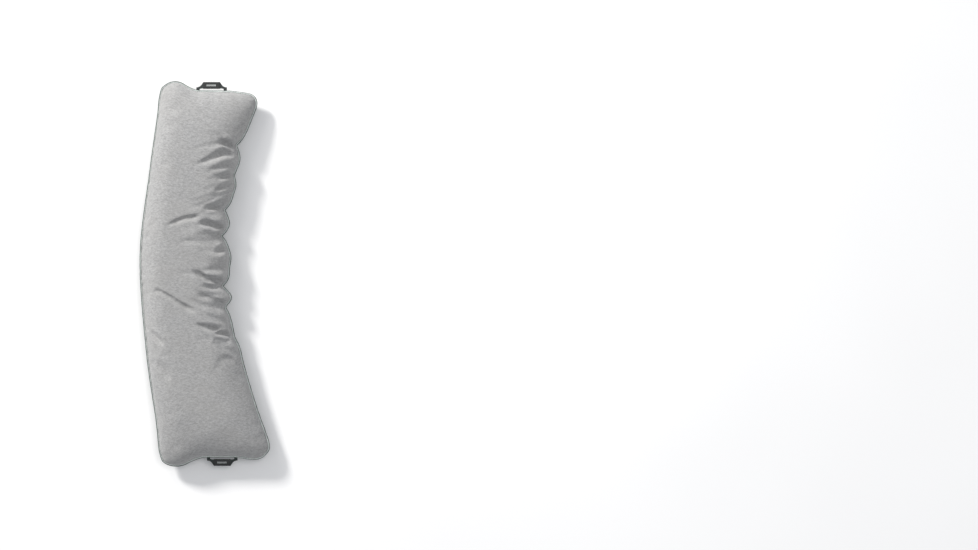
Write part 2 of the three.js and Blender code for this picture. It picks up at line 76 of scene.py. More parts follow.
# ---- Meshes ----
def make_mesh(name, verts, faces, uv):
    """A mesh object. uv is one (u, v) per vertex, or one per face corner."""
    me = bpy.data.meshes.new(name)
    me.from_pydata(np.asarray(verts, float).tolist(), [], [list(map(int, f)) for f in faces])
    uv = np.asarray(uv, float)
    if len(uv) != len(me.loops):
        at = np.zeros(len(me.loops), int)
        me.loops.foreach_get("vertex_index", at)
        uv = uv[at]
    me.uv_layers.new(name="cloth").data.foreach_set("uv", uv.astype(np.float32).ravel())
    me.polygons.foreach_set("use_smooth", [True] * len(me.polygons))
    me.validate()
    me.update()
    ob = bpy.data.objects.new(name, me)
    bpy.context.scene.collection.objects.link(ob)
    return ob


def grid_faces(rows, columns, start=0, flip=False, skip=None):
    out = []
    for i in range(rows - 1):
        for j in range(columns - 1):
            if skip and skip(i, j):
                continue
            a = start + i * columns + j
            f = (a, a + 1, a + columns + 1, a + columns)
            out.append(f[::-1] if flip else f)
    return out


def steps(line, axis=0):
    """The running length along each line of points, from 0."""
    gaps = np.linalg.norm(np.diff(line, axis=axis), axis=-1)
    first = np.zeros_like(np.take(gaps, [0], axis))
    return np.concatenate([first, np.cumsum(gaps, axis)], axis)


def rim_of(g):
    """A grid's rim, anticlockwise from above."""
    return np.concatenate([g[:, -1], g[-1, ::-1][1:], g[::-1, 0][1:], g[0, 1:-1]])


def coords(ob):
    co = np.zeros(len(ob.data.vertices) * 3, np.float32)
    ob.data.vertices.foreach_get("co", co)
    return co.reshape(-1, 3).astype(float)


def apply_modifiers(ob):
    dg = bpy.context.evaluated_depsgraph_get()
    dg.update()
    done = bpy.data.meshes.new_from_object(ob.evaluated_get(dg))
    old = ob.data
    ob.modifiers.clear()
    ob.data = done
    bpy.data.meshes.remove(old)
    ob.data.name = ob.name
    return ob


def solidify(ob, thickness, offset=-1.0):
    m = ob.modifiers.new("Solidify", "SOLIDIFY")
    m.thickness, m.offset, m.use_even_offset = thickness, offset, False
    return apply_modifiers(ob)


def face_out(ob):
    """Merges doubled points, drops those that no face uses, and turns each closed body's faces outwards."""
    bm = bmesh.new()
    bm.from_mesh(ob.data)
    bmesh.ops.remove_doubles(bm, verts=bm.verts, dist=1e-6)
    bmesh.ops.delete(bm, geom=[v for v in bm.verts if not v.link_faces], context="VERTS")
    bmesh.ops.recalc_face_normals(bm, faces=bm.faces)
    if bm.calc_volume(signed=True) < 0:
        bmesh.ops.reverse_faces(bm, faces=bm.faces)
    bm.to_mesh(ob.data)
    bm.free()


def join(name, obs):
    """Joins mesh objects into the first, keeping their material slots."""
    with bpy.context.temp_override(active_object=obs[0], object=obs[0], selected_objects=obs,
                                   selected_editable_objects=obs):
        bpy.ops.object.join()
    obs[0].name = obs[0].data.name = name
    return obs[0]


def ring_quads(start, rings, sides, closed=False):
    """The faces between rings of points that are stored one after another."""
    return [(start + i * sides + k, start + i * sides + (k + 1) % sides,
             start + (i + 1) % rings * sides + (k + 1) % sides, start + (i + 1) % rings * sides + k)
            for i in range(rings if closed else rings - 1) for k in range(sides)]


def tube(name, path, radius, sides):
    """A tube round a closed line of points, with a radius for each."""
    ahead = np.roll(path, -1, 0) - np.roll(path, 1, 0)
    ahead /= np.linalg.norm(ahead, axis=1)[:, None]
    side = np.cross(ahead, [0, 0, 1.0])
    side /= np.linalg.norm(side, axis=1)[:, None]
    lift = np.cross(side, ahead)
    r = radius[:, None]
    angle = np.arange(sides) / sides * 2 * math.pi
    verts = np.stack([path + side * r * math.cos(a) + lift * r * math.sin(a) for a in angle], 1)
    run = steps(np.vstack([path, path[:1]]))
    around = float(np.mean(radius)) * 2 * math.pi
    uv = []
    for i in range(len(path)):
        for k in range(sides):
            u0, u1, v0, v1 = run[i], run[i + 1], k / sides * around, (k + 1) / sides * around
            uv += [(u0, v0), (u0, v1), (u1, v1), (u1, v0)]
    return make_mesh(name, verts.reshape(-1, 3), ring_quads(0, len(path), sides, closed=True), uv)


def waves(seed, length, shortest, longest, count=14):
    """Smooth noise along a line that repeats after its length, from a few seeded waves."""
    rng = np.random.default_rng(seed)
    k = 2 * math.pi / rng.uniform(shortest, longest, count)
    k = np.maximum(1, np.round(k * length / (2 * math.pi))) * 2 * math.pi / length
    phase, size = rng.uniform(0, 2 * math.pi, count), rng.uniform(0.4, 1, count)
    size /= np.sqrt((size ** 2).sum() / 2)
    return lambda s: (np.sin(np.multiply.outer(np.asarray(s, float), k) + phase) * size).sum(-1)


def smoothstep(a, b, x):
    t = np.clip((np.asarray(x, float) - a) / (b - a), 0, 1)
    return t * t * (3 - 2 * t)


# ---- The seam's outline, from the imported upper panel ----
def seam_polygon():
    """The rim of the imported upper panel, anticlockwise from above."""
    bm = bmesh.new()
    bm.from_mesh(NODES["cover_top_panel"].data)
    bmesh.ops.remove_doubles(bm, verts=bm.verts, dist=1e-6)
    level = min(v.co.z for v in bm.verts)
    flat = {f for f in bm.faces
            if f.normal.z < -0.9 and all(abs(v.co.z - level) < 2e-5 for v in f.verts)}
    # The ring's outer edges: the face on their other side is the panel's outer surface, which looks up.
    rim = [e for e in bm.edges if sum(f in flat for f in e.link_faces) == 1
           and all(f in flat or f.normal.z > 0 for f in e.link_faces)]
    after = {}
    for e in rim:
        for v in e.verts:
            after.setdefault(v, []).append(e)
    first = max(after, key=lambda v: v.co.x)
    line, e = [first], after[first][0]
    while True:
        v = e.other_vert(line[-1])
        if v is first:
            break
        line.append(v)
        e = after[v][0] if after[v][1] is e else after[v][1]
    ring = np.array([v.co[:2] for v in line])
    bm.free()
    area = (ring[:, 0] * np.roll(ring[:, 1], -1) - ring[:, 1] * np.roll(ring[:, 0], -1)).sum()
    return ring if area > 0 else np.roll(ring[::-1], 1, 0)


def through(points, count, closed):
    """A smooth line through the points, resampled to count points at even distances."""
    p = np.asarray(points, float)
    n = len(p)
    pad = (lambda i: p[i % n]) if closed else (lambda i: p[min(max(i, 0), n - 1)])
    fine = []
    for i in range(n if closed else n - 1):
        a, b, c, d = pad(i - 1), pad(i), pad(i + 1), pad(i + 2)
        for t in np.arange(12) / 12:
            fine.append(0.5 * (2 * b + (c - a) * t + (2 * a - 5 * b + 4 * c - d) * t * t
                               + (3 * b - a - 3 * c + d) * t ** 3))
    fine.append(fine[0] if closed else p[-1])
    fine = np.array(fine)
    run = steps(fine)
    at = np.linspace(0, run[-1], count + 1)[:-1] if closed else np.linspace(0, run[-1], count)
    return np.stack([np.interp(at, run, fine[:, k]) for k in range(fine.shape[1])], 1)


POLYGON = seam_polygon()
CORNERS = {"inner_right": (0.1837, -0.5373), "outer_right": (-0.1243, -0.5623),
           "outer_left": (-0.1263, 0.5587), "inner_left": (0.1487, 0.5297)}
corner_at = {k: int(np.argmin(((POLYGON - np.array(c)) ** 2).sum(1))) for k, c in CORNERS.items()}


def between(a, b):
    """The rim from one corner to another, the anticlockwise way."""
    i, j = corner_at[a], corner_at[b]
    n = len(POLYGON)
    return np.array([POLYGON[k % n] for k in range(i, (j if j > i else j + n) + 1)])


FINE = 400
INNER = through(between("inner_right", "inner_left"), FINE + 1, False)  # right end to left end
LEFT_END = through(between("inner_left", "outer_left"), FINE + 1, False)[::-1]  # outer to inner
OUTER = through(between("outer_left", "outer_right"), FINE + 1, False)[::-1]  # right end to left end
RIGHT_END = through(between("outer_right", "inner_right"), FINE + 1, False)  # outer to inner


def along(line, t):
    t = np.asarray(t, float) * FINE
    return np.stack([np.interp(t, np.arange(FINE + 1), line[:, k]) for k in range(line.shape[1])], -1)


def plan(u, v):
    """u from the right end to the left, v from the outer edge to the inner."""
    u, v = np.broadcast_arrays(np.asarray(u, float), np.asarray(v, float))
    U, V = u[..., None], v[..., None]
    across = along(OUTER, u) * (1 - V) + along(INNER, u) * V
    length = along(RIGHT_END, v) * (1 - U) + along(LEFT_END, v) * U
    low = RIGHT_END[0] * (1 - V) + RIGHT_END[-1] * V
    high = LEFT_END[0] * (1 - V) + LEFT_END[-1] * V
    return across + length - (low * (1 - U) + high * U)


# The inner edge is drawn in by its creases: (y, depth, reach) in millimetres, and it bulges between them.
CUSPS = [(387, 19, 19), (192, 15, 15), (114, 19, 14), (-36, 17, 13), (-101, 13, 17), (-190, 4, 16),
         (297, 4, 14)]
LOBES = [(342, 6, 26), (262, 9, 26), (222, 4, 18), (150, 6, 18), (48, 10, 34), (-6, 5, 18), (-70, 12, 16),
         (-225, 3, 30)]


def scallop(y):
    """How far the inner edge stands out at y, in metres."""
    y = np.asarray(y, float) / MM
    out = np.zeros_like(y)
    for at, depth, reach in CUSPS:
        out -= depth * np.exp(-(np.sqrt((y - at) ** 2 + 9) - 3) / reach)
    for at, height, reach in LOBES:
        out += height * np.exp(-((y - at) / reach) ** 2)
    return out * MM


# ---- Upper panel: a dome, creased towards the inner edge, inflated as cloth ----
# Each crease is a line in plan, in millimetres, its depth and its half width.
CREASES = [
    ([(-36, 322), (30, 345), (63, 361), (104, 360)], 6.5, 8),
    ([(108, 372), (90, 381), (57, 396), (44, 402)], 9.0, 7),
    ([(40, 284), (51, 288), (81, 297), (96, 300)], 5.0, 7),
    ([(30, 248), (39, 250), (72, 262), (90, 268)], 5.0, 7),
    ([(-7, 192), (36, 203), (75, 217), (90, 210)], 9.0, 8),
    ([(-120, 139), (-63, 163), (-33, 169), (5, 173)], 7.5, 8),
    ([(-22, 152), (18, 150), (60, 133), (78, 120)], 9.0, 8),
    ([(30, 118), (50, 117), (76, 113)], 10.0, 8),
    ([(-40, 14), (-12, 0), (18, -15), (48, -23), (76, -37)], 8.0, 7),
    ([(3, -25), (24, -37), (68, -39)], 7.0, 7),
    ([(-33, -63), (20, -70), (60, -90), (78, -100)], 5.0, 9),
    ([(-159, -49), (-132, -52), (-102, -67), (-63, -91), (-33, -108), (-8, -122)], 8.5, 7),
    ([(-30, -143), (0, -155), (30, -163), (58, -171)], 6.5, 7),
    ([(30, -174), (60, -178), (88, -180)], 6.5, 5),
    ([(-168, -165), (-144, -189), (-115, -215)], 4.5, 7),
    ([(-147, -252), (-87, -324)], 3.0, 10),
    ([(30, 60), (62, 74), (84, 78)], 3.5, 8),
    ([(60, -240), (100, -262), (116, -268)], 3.0, 8),
]

# Where shallow folds fan out of the inner edge: y, how many, and their slope; and where the outer edge has
# one each.
GATHERED = [(380, 3, 0.34), (318, 2, 0.30), (285, 2, 0.22), (232, 3, 0.30), (190, 3, 0.24), (150, 2, 0.18),
            (112, 3, 0.12), (70, 2, 0.0), (22, 3, -0.12), (-34, 3, -0.34), (-72, 2, -0.30), (-104, 3, -0.38),
            (-150, 2, -0.42), (-190, 3, -0.50), (-235, 2, -0.45)]
OUTER_FOLDS = (-250, -60, 40, 205, 330, 440, -420, -500, 500)


def soft_folds():
    """Shallow folds that fan out of the gathered stretches of the inner edge, and a few at the outer one."""
    rng = np.random.default_rng(41)
    out = []
    for y0, count, tilt in GATHERED:
        for k in range(count):
            y = y0 + rng.uniform(-14, 14)
            x1 = float(np.interp(y, INNER[:, 1] / MM, INNER[:, 0] / MM)) - 4
            length = rng.uniform(60, 190)
            slope = tilt + rng.uniform(-0.22, 0.22)
            bow = rng.uniform(-9, 9)
            line = [(x1 - length * t, y - length * slope * t + bow * math.sin(t * math.pi))
                    for t in (1, 0.66, 0.33, 0)]
            out.append((line, rng.uniform(1.0, 2.7), rng.uniform(6, 12)))
    for y0 in OUTER_FOLDS:
        y = y0 + rng.uniform(-20, 20)
        x1 = float(np.interp(y, OUTER[:, 1] / MM, OUTER[:, 0] / MM)) + rng.uniform(16, 40)
        length, slope = rng.uniform(40, 90), rng.uniform(-0.5, 0.5)
        line = [(x1 + length * t, y + length * slope * t) for t in (0, 0.35, 0.7, 1)]
        out.append((line, rng.uniform(0.8, 1.7), rng.uniform(8, 13)))
    return out


SOFT_FOLDS = soft_folds()


CREASE_REACH = 80  # millimetres past which a crease no longer shows


def beside(line, x, y):
    """For points of the plan: how far from the line, whether on its +Y side, and the share along it."""
    line = through(line, 40, False)
    run = steps(line)
    best, at, above = np.full(x.shape, 1e9), np.zeros_like(x), np.zeros(x.shape, bool)
    for i in range(len(line) - 1):
        a, d = line[i], line[i + 1] - line[i]
        t = np.clip(((x - a[0]) * d[0] + (y - a[1]) * d[1]) / (d @ d), 0, 1)
        gap = np.hypot(x - a[0] - t * d[0], y - a[1] - t * d[1])
        near = gap < best
        best = np.where(near, gap, best)
        at = np.where(near, (run[i] + t * (run[i + 1] - run[i])) / run[-1], at)
        above = np.where(near, (d[0] * (y - a[1]) - d[1] * (x - a[0])) * d[0] > 0, above)
    return best, above, at


def fading(line, at):
    """A crease fades at its end on the crown and stays deep where it meets the inner seam."""
    meets_seam = max(line[0][0], line[-1][0]) > 60
    if line[-1][0] < line[0][0]:
        at = 1 - at
    return smoothstep(0, 0.35, at) * (1 if meets_seam else smoothstep(0, 0.3, 1 - at))


def pressed(x, y, lines, shape):
    """Adds up the relief of the lines at points of the plan. shape gives it for a depth of 1."""
    x, y = np.asarray(x, float) / MM, np.asarray(y, float) / MM
    out = np.zeros_like(x)
    for line, depth, width in lines:
        lo, hi = np.min(line, 0) - CREASE_REACH, np.max(line, 0) + CREASE_REACH
        near = (x > lo[0]) & (x < hi[0]) & (y > lo[1]) & (y < hi[1])
        gap, above, at = beside(line, x[near], y[near])
        out[near] += depth * fading(line, at) * shape(gap, above, at, width)
    return out * MM


def fold_shape(gap, above, at, width):
    """A rounded groove with a swell on both sides."""
    w = width * (0.75 + 0.5 * at)
    return 0.34 * np.exp(-((gap - 2.1 * w) / (1.1 * w)) ** 2) - np.exp(-(gap / w) ** 2)


def sharp_shape(gap, above, at, width):
    """A thin line with a steep wall on its +Y side and a gentle one on the other."""
    wall = width * np.where(above, 0.6, 1.5)
    return -np.exp(-(np.hypot(gap, 1.0) - 1.0) / wall)


def creases(x, y):
    return pressed(x, y, CREASES + SOFT_FOLDS, fold_shape)


def dome(u, v):
    a = 1 - np.abs(2 * np.asarray(u, float) - 1) ** 8
    b = 1 - np.abs(2 * np.asarray(v, float) - 1) ** 2.5
    return np.sqrt(np.clip(a, 0, 1)) * np.sqrt(np.clip(b, 0, 1))


def even_steps(height, reach, profile, count):
    """Steps from 0 to 1 that are evenly spaced along a rounded profile."""
    t = (1 - np.cos(np.linspace(0, math.pi, 4001))) / 2
    run = np.concatenate([[0], np.cumsum(np.hypot(np.diff(t) * reach, np.diff(profile(t)) * height))])
    return np.interp(np.linspace(0, run[-1], count), run, t)


SEAM_LIFT = 0.22  # the seam's rise for each metre that it stands out between the creases
RISE = CROWN_Z - TOP_LO.z
WIDTH, LENGTH = 0.27, 1.15  # across and along, at the seam
U = even_steps(RISE, TOP_HI.y - TOP_LO.y, lambda t: dome(t, 0.5), 216)
V = even_steps(RISE, WIDTH, lambda t: dome(0.5, t), 74)
UU, VV = np.meshgrid(U, V, indexing="ij")
PLAN = plan(UU, VV)
# The distance from the seam, roughly.
EDGE = np.minimum.reduce([UU * LENGTH, (1 - UU) * LENGTH, VV * WIDTH, (1 - VV) * WIDTH])


def upper_start():
    """The panel before it is blown up: a dome with the creases pressed in and some slack."""
    x, y = PLAN[..., 0].copy(), PLAN[..., 1].copy()
    d = dome(UU, VV)
    bulge = scallop(y)
    x += bulge * VV ** 5
    z = TOP_LO.z + SEAM_LIFT * bulge * VV ** 3 * (1 - d) + RISE * d
    z += creases(x, y) * smoothstep(0.0, 0.02, EDGE)
    # Slack in the cloth: broad, low swellings that a stuffed cover has.
    a, b, c = waves(3, 1.2, 0.17, 0.5), waves(4, 0.5, 0.11, 0.3), waves(8, 1.0, 0.09, 0.24)
    slack = a(y + 0.4 * x) + b(x - 0.3 * y) + 0.8 * c(y - 0.9 * x)
    z += 0.0011 * slack * smoothstep(0.01, 0.07, EDGE)
    return np.stack([x, y, z], -1)


def simulate(ob, rest, pinned, frames, cap, pressure, stretch, bend):
    """Blows the cloth up with its rim held, from its rest size, and caps how far a point may move."""
    before = coords(ob)
    ob.shape_key_add(name="Basis")
    key = ob.shape_key_add(name="Rest")
    key.data.foreach_set("co", np.asarray(rest, np.float32).ravel())
    group = ob.vertex_groups.new(name="pinned")
    group.add([int(i) for i in pinned], 1.0, "ADD")
    m = ob.modifiers.new("Cloth", "CLOTH")
    s = m.settings
    s.quality, s.mass, s.time_scale = 6, 0.25, 1.0
    s.tension_stiffness = s.compression_stiffness = stretch
    s.shear_stiffness, s.bending_stiffness = 8, bend
    s.tension_damping = s.compression_damping = s.shear_damping = 8
    s.bending_damping, s.air_damping = 1.0, 2.5
    s.vertex_group_mass, s.pin_stiffness = "pinned", 50
    s.use_pressure, s.uniform_pressure_force = True, pressure
    s.rest_shape_key = key
    s.effector_weights.gravity = 0
    m.collision_settings.use_collision = m.collision_settings.use_self_collision = False
    scene = bpy.context.scene
    scene.frame_start, scene.frame_end = 1, frames
    m.point_cache.frame_start, m.point_cache.frame_end = 1, frames
    for f in range(1, frames + 1):
        scene.frame_set(f)
    moved = coords(ob.evaluated_get(bpy.context.evaluated_depsgraph_get())) - before
    ob.modifiers.clear()
    scene.frame_set(1)
    size = np.linalg.norm(moved, axis=1)
    print(f"cloth {ob.name} moved up to {size.max() / MM:.1f} mm, mean {size.mean() / MM:.2f}")
    moved *= np.minimum(1, cap / np.maximum(size, 1e-9))[:, None]
    moved[pinned] = 0
    return before + moved


def refine(a, axis):
    """Puts a smooth new row between each two of an array's rows."""
    a = np.moveaxis(a, axis, 0)
    more = np.concatenate([2 * a[:1] - a[1:2], a, 2 * a[-1:] - a[-2:-1]])
    out = np.empty((2 * len(a) - 1, *a.shape[1:]))
    out[0::2], out[1::2] = a, (9 * (more[1:-2] + more[2:-1]) - more[:-3] - more[3:]) / 16
    return np.moveaxis(out, 0, axis)


def smooth_grid(a, times=1):
    """Averages each inner point of a grid with its neighbours."""
    a = a.copy()
    for _ in range(times):
        a[1:-1, 1:-1] = (a[1:-1, 1:-1] * 4 + a[:-2, 1:-1] + a[2:, 1:-1] + a[1:-1, :-2] + a[1:-1, 2:]) / 8
    return a


START = upper_start()
rows, columns = UU.shape
# The cloth lies in its own plane: lengths along it, from the middle, are its weave's coordinates.
cloth_u = steps(START, 1)
cloth_u -= cloth_u[:, columns // 2:columns // 2 + 1]
cloth_u += PLAN[:, columns // 2, 0][:, None]
cloth_v = steps(START).mean(1)[:, None] + 0 * cloth_u
TOP_GRID = START
flat_y = START[..., 1]
# More cloth than the inner edge has room for: it is what buckles into the creases.
zone = smoothstep(-0.30, -0.18, flat_y) * (1 - smoothstep(0.36, 0.46, flat_y))
spare = 1 + 0.10 * zone * smoothstep(0.25, 0.9, VV)
rest = START.copy()
longer = np.diff(flat_y, axis=0) * (spare[1:] + spare[:-1]) / 2
rest[..., 1] = np.cumsum(np.concatenate([flat_y[:1], longer]), 0)
rim_index = rim_of(np.arange(rows * columns).reshape(rows, columns))
sheet = make_mesh("cut_panel", START.reshape(-1, 3), grid_faces(rows, columns), PLAN.reshape(-1, 2))
blown = simulate(sheet, rest.reshape(-1, 3), rim_index, frames=20, cap=14 * MM, pressure=1.6,
                 stretch=40, bend=0.3)
bpy.data.objects.remove(sheet, do_unlink=True)
TOP_GRID = blown.reshape(rows, columns, 3)

# The blown-up panel, and all that goes with it, on a grid twice as fine.
U, V = refine(U, 0), refine(V, 0)
TOP_GRID, PLAN, UU, VV, EDGE, cloth_u, cloth_v = (
    refine(refine(a, 0), 1) for a in (TOP_GRID, PLAN, UU, VV, EDGE, cloth_u, cloth_v))
rows, columns = UU.shape


def panel_normals(g):
    n = np.cross(np.gradient(g, axis=1), np.gradient(g, axis=0))
    return n / (np.linalg.norm(n, axis=2)[..., None] + 1e-12)


def rim_run(g):
    """The distance round the seam of the nearest rim point, and from it, for each grid point."""
    r, c = g.shape[:2]
    rim = rim_of(g)
    run = steps(rim[:, :2])
    p = g.reshape(-1, 3)
    best, at = np.full(len(p), 1e9), np.zeros(len(p))
    for k in range(0, len(rim), 2):
        d = np.linalg.norm(p - rim[k], axis=1)
        near = d < best
        best[near], at[near] = d[near], run[k]
    return at.reshape(r, c), best.reshape(r, c)


ON_SEAM = 1e-5  # a point closer to the seam than this is on it, and stays
gather_a, gather_b = waves(11, PERIMETER, 0.016, 0.034, 24), waves(12, PERIMETER, 0.03, 0.07, 16)


def gathers(at, off, size):
    """Small puckers where the seam's thread draws the cloth up."""
    return size * (0.55 * gather_a(at) * np.exp(-off / 0.012) + 0.6 * gather_b(at) * np.exp(-off / 0.026)) \
        * smoothstep(0.0005, 0.007, off)


# The creases are pressed in again after the inflation, and each seam edge is gathered by its sewing.
run_at, run_off = rim_run(TOP_GRID)
folded_x = PLAN[..., 0] + scallop(PLAN[..., 1]) * VV ** 5
press = 0.22 * creases(folded_x, PLAN[..., 1]) \
    + 0.55 * pressed(folded_x, PLAN[..., 1], CREASES, sharp_shape)
relief = (gathers(run_at, run_off, 0.9 * MM) + press * smoothstep(0.0, 0.03, EDGE)) * (run_off > ON_SEAM)
TOP_GRID = TOP_GRID + panel_normals(TOP_GRID) * relief[..., None]
# The crown levels off at its height, softly over this much.
over = 3.5 * MM
high = TOP_GRID[..., 2]
high = high - over * np.log1p(np.exp((high - CROWN_Z) / over))
TOP_GRID[..., 2] = np.maximum(high, SEAM_Z - 0.006)
top = make_mesh("upper_panel", TOP_GRID.reshape(-1, 3), grid_faces(rows, columns),
                np.stack([cloth_u, cloth_v], -1).reshape(-1, 2))
top = solidify(top, CLOTH)


# ---- Base panel: a flat floor, rounded flanks and the zip's flat strip with its window ----
# Where the base's first columns lie across the strip, in millimetres up from its middle; the zip's window is
# between the two at WINDOW_HALF.
STRIP_STOPS = [None, 24.5, STRIP_HALF / MM, 12.2, 9.0, 6.5, 0.0, -6.5, -9.0, -12.2, -STRIP_HALF / MM]
HALF_LENGTH = 0.575


def strip_point(a, y):
    """The points a metres up across the strip, at each y."""
    p = STRIP_ORIGIN + ACROSS * a
    return np.stack(np.broadcast_arrays(p[0], np.asarray(y, float), p[2]), -1)


def flank_height(u, v, half):
    """The base's height as a share of the seam's: 0 on the floor, rounding up to 1 at the seam."""
    side = np.clip(1 - (1 - np.abs(2 * v - 1)) * half / FLANK, 0, None)
    end = np.clip(1 - (1 - np.abs(2 * u - 1)) * HALF_LENGTH / FLANK, 0, None)
    return 1 - np.sqrt(1 - np.clip(side ** 2 + end ** 2, 0, 1))


def flank_steps(count, reach, height):
    """Steps from the seam inwards, in shares of reach, evenly spaced down a quarter ellipse."""
    a = np.linspace(0, math.pi / 2, 400)
    x, z = 1 - np.cos(a), np.sin(a)
    run = np.concatenate([[0], np.cumsum(np.hypot(np.diff(x) * reach, np.diff(z) * height))])
    return np.interp(np.linspace(0, run[-1], count), run, x)


def base_grid():
    """The base panel's points, from end to end and from the outer edge in, and the window's end rows."""
    ends = flank_steps(15, FLANK, SEAM_Z) * FLANK / HALF_LENGTH / 2
    shares = np.linspace(0, 1, 2001)
    window_y = [ZIP_Y - WINDOW_LENGTH / 2, ZIP_Y + WINDOW_LENGTH / 2]
    first, last = np.interp(window_y, along(OUTER, shares)[:, 1], shares)
    us = np.concatenate([ends, np.linspace(ends[-1], first, 42)[1:], np.linspace(first, last, 90)[1:],
                         np.linspace(last, 1 - ends[-1], 42)[1:], 1 - ends[::-1][1:]])
    half = np.linalg.norm(along(OUTER, us) - along(INNER, us), axis=1) / 2
    flank = flank_steps(13, FLANK, SEAM_Z) * FLANK
    g = []
    for u, h in zip(us, half):
        floor = np.linspace(flank[-1], 2 * h - flank[-1], 26)[1:]
        v = np.concatenate([flank, floor, 2 * h - flank[::-1][1:]]) / (2 * h)
        g.append(np.column_stack([plan(np.full_like(v, u), v), BASE_TOP * flank_height(u, v, h)]))
    g = np.array(g)
    # Over the zip the first columns follow the flat strip: rim, head, window, foot and floor.
    y = g[:, 0, 1]
    flat = g.copy()
    flat[:, 1] = (g[:, 0] + strip_point(STRIP_HALF, y)) / 2 - [0.8 * MM, 0, 0]
    for j, a in enumerate(STRIP_STOPS[2:], 2):
        flat[:, j] = strip_point(a * MM, y)
    foot, count, blended = flat[:, j], len(STRIP_STOPS), 24
    for j in range(count, blended):
        t = (j - count) / (blended - count)
        floor_x = foot[:, 0] + 10 * MM
        flat[:, j] = np.column_stack([floor_x + (g[:, blended, 0] - floor_x) * t, g[:, j, 1], 0 * y])
    foot[:, 2] += 0.6 * MM  # it rounds into the floor
    fade = (1 - smoothstep(ZONE + 0.001, ZONE * 1.25, np.abs(y - ZIP_Y)))[:, None, None]
    g[:, 1:blended] = (flat * fade + g * (1 - fade))[:, 1:blended]
    return g, [int(np.argmin(np.abs(us - share))) for share in (first, last)]


BASE_GRID, WINDOW_ROWS = base_grid()
run_b, off_b = rim_run(BASE_GRID)
inward = BASE_GRID[..., 0] - BASE_GRID[:, :1, 0]
inward /= inward[:, -1:]  # 0 at the outer edge, 1 at the inner
bulge = scallop(BASE_GRID[..., 1])
BASE_GRID[..., 0] += bulge * inward ** 6
BASE_GRID[..., 2] += SEAM_LIFT * bulge * np.clip(inward, 0, 1) ** 12 * (BASE_GRID[..., 2] / SEAM_Z)
flank_out = panel_normals(BASE_GRID) * -1
on_strip = (1 - smoothstep(ZONE, ZONE * 1.2, np.abs(BASE_GRID[..., 1] - ZIP_Y))) * (inward < 0.25)
pull_in = -0.006 * np.clip(-bulge / (15 * MM), 0, 1) * smoothstep(0.80, 0.97, inward) \
    * (1 - smoothstep(0.985, 1.0, inward))
soft = 0.0016 * waves(21, 1.2, 0.05, 0.16)(BASE_GRID[..., 1]) \
    * smoothstep(0.004, 0.02, BASE_GRID[..., 2]) * smoothstep(0.002, 0.012, off_b)
relief = (gathers(run_b, off_b, 0.8 * MM) + pull_in + soft) * (1 - on_strip) * (off_b > ON_SEAM)
BASE_GRID += flank_out * relief[..., None]
BASE_GRID[..., 2] = np.clip(BASE_GRID[..., 2], 0, None)
b_rows, b_columns = BASE_GRID.shape[:2]
base_u = steps(BASE_GRID, 1)
base_v = steps(BASE_GRID).mean(1)[:, None] + 0 * base_u
head, foot = STRIP_STOPS.index(WINDOW_HALF / MM), STRIP_STOPS.index(-WINDOW_HALF / MM)
base = make_mesh("base_panel", BASE_GRID.reshape(-1, 3), grid_faces(
    b_rows, b_columns, flip=True, skip=lambda i, j: head <= j < foot and WINDOW_ROWS[0] <= i < WINDOW_ROWS[1]
), np.stack([base_u, base_v], -1).reshape(-1, 2))
base = solidify(base, CLOTH)


# ---- Piping and welt, along the gathered seam ----
SEAM = through(rim_of(TOP_GRID), 1300, True)


def pushed(line, out):
    """The line moved outwards in plan; it runs anticlockwise from above."""
    ahead = np.roll(line, -2, 0) - np.roll(line, 2, 0)
    side = np.column_stack([ahead[:, 1], -ahead[:, 0], np.zeros(len(line))])
    side /= np.linalg.norm(side, axis=1)[:, None]
    moved = line + side * out
    for _ in range(3):
        moved = (moved * 2 + np.roll(moved, 1, 0) + np.roll(moved, -1, 0)) / 4
    return moved


at_seam = np.linspace(0, PERIMETER, len(SEAM), endpoint=False)
lumps_a, lumps_b = waves(31, PERIMETER, 0.02, 0.07, 20), waves(32, PERIMETER, 0.012, 0.04, 20)
PIPE_R = 2.2 * MM
WELT_R = 1.5 * MM
pipe_line = pushed(SEAM, PIPE_R + 0.45 * MM) + np.array([0, 0, -1.54 * MM])
pipe_line[:, 2] += 0.12 * MM * lumps_a(at_seam)
piping = tube("piping", pipe_line, PIPE_R * (1 + 0.035 * lumps_b(at_seam)), 14)
# The welt shows along the inner edge, and is half tucked in along the outer one.
shown = 0.6 + 0.4 * smoothstep(-0.11, 0.0, SEAM[:, 0])
welt_line = pushed(SEAM, WELT_R * shown[:, None] + 0.15 * MM) + np.array([0, 0, 2.55 * MM])
welt_line[:, 2] += 0.1 * MM * lumps_b(at_seam)
welt = tube("welt", welt_line, WELT_R * shown * (1 + 0.05 * lumps_a(at_seam)), 10)


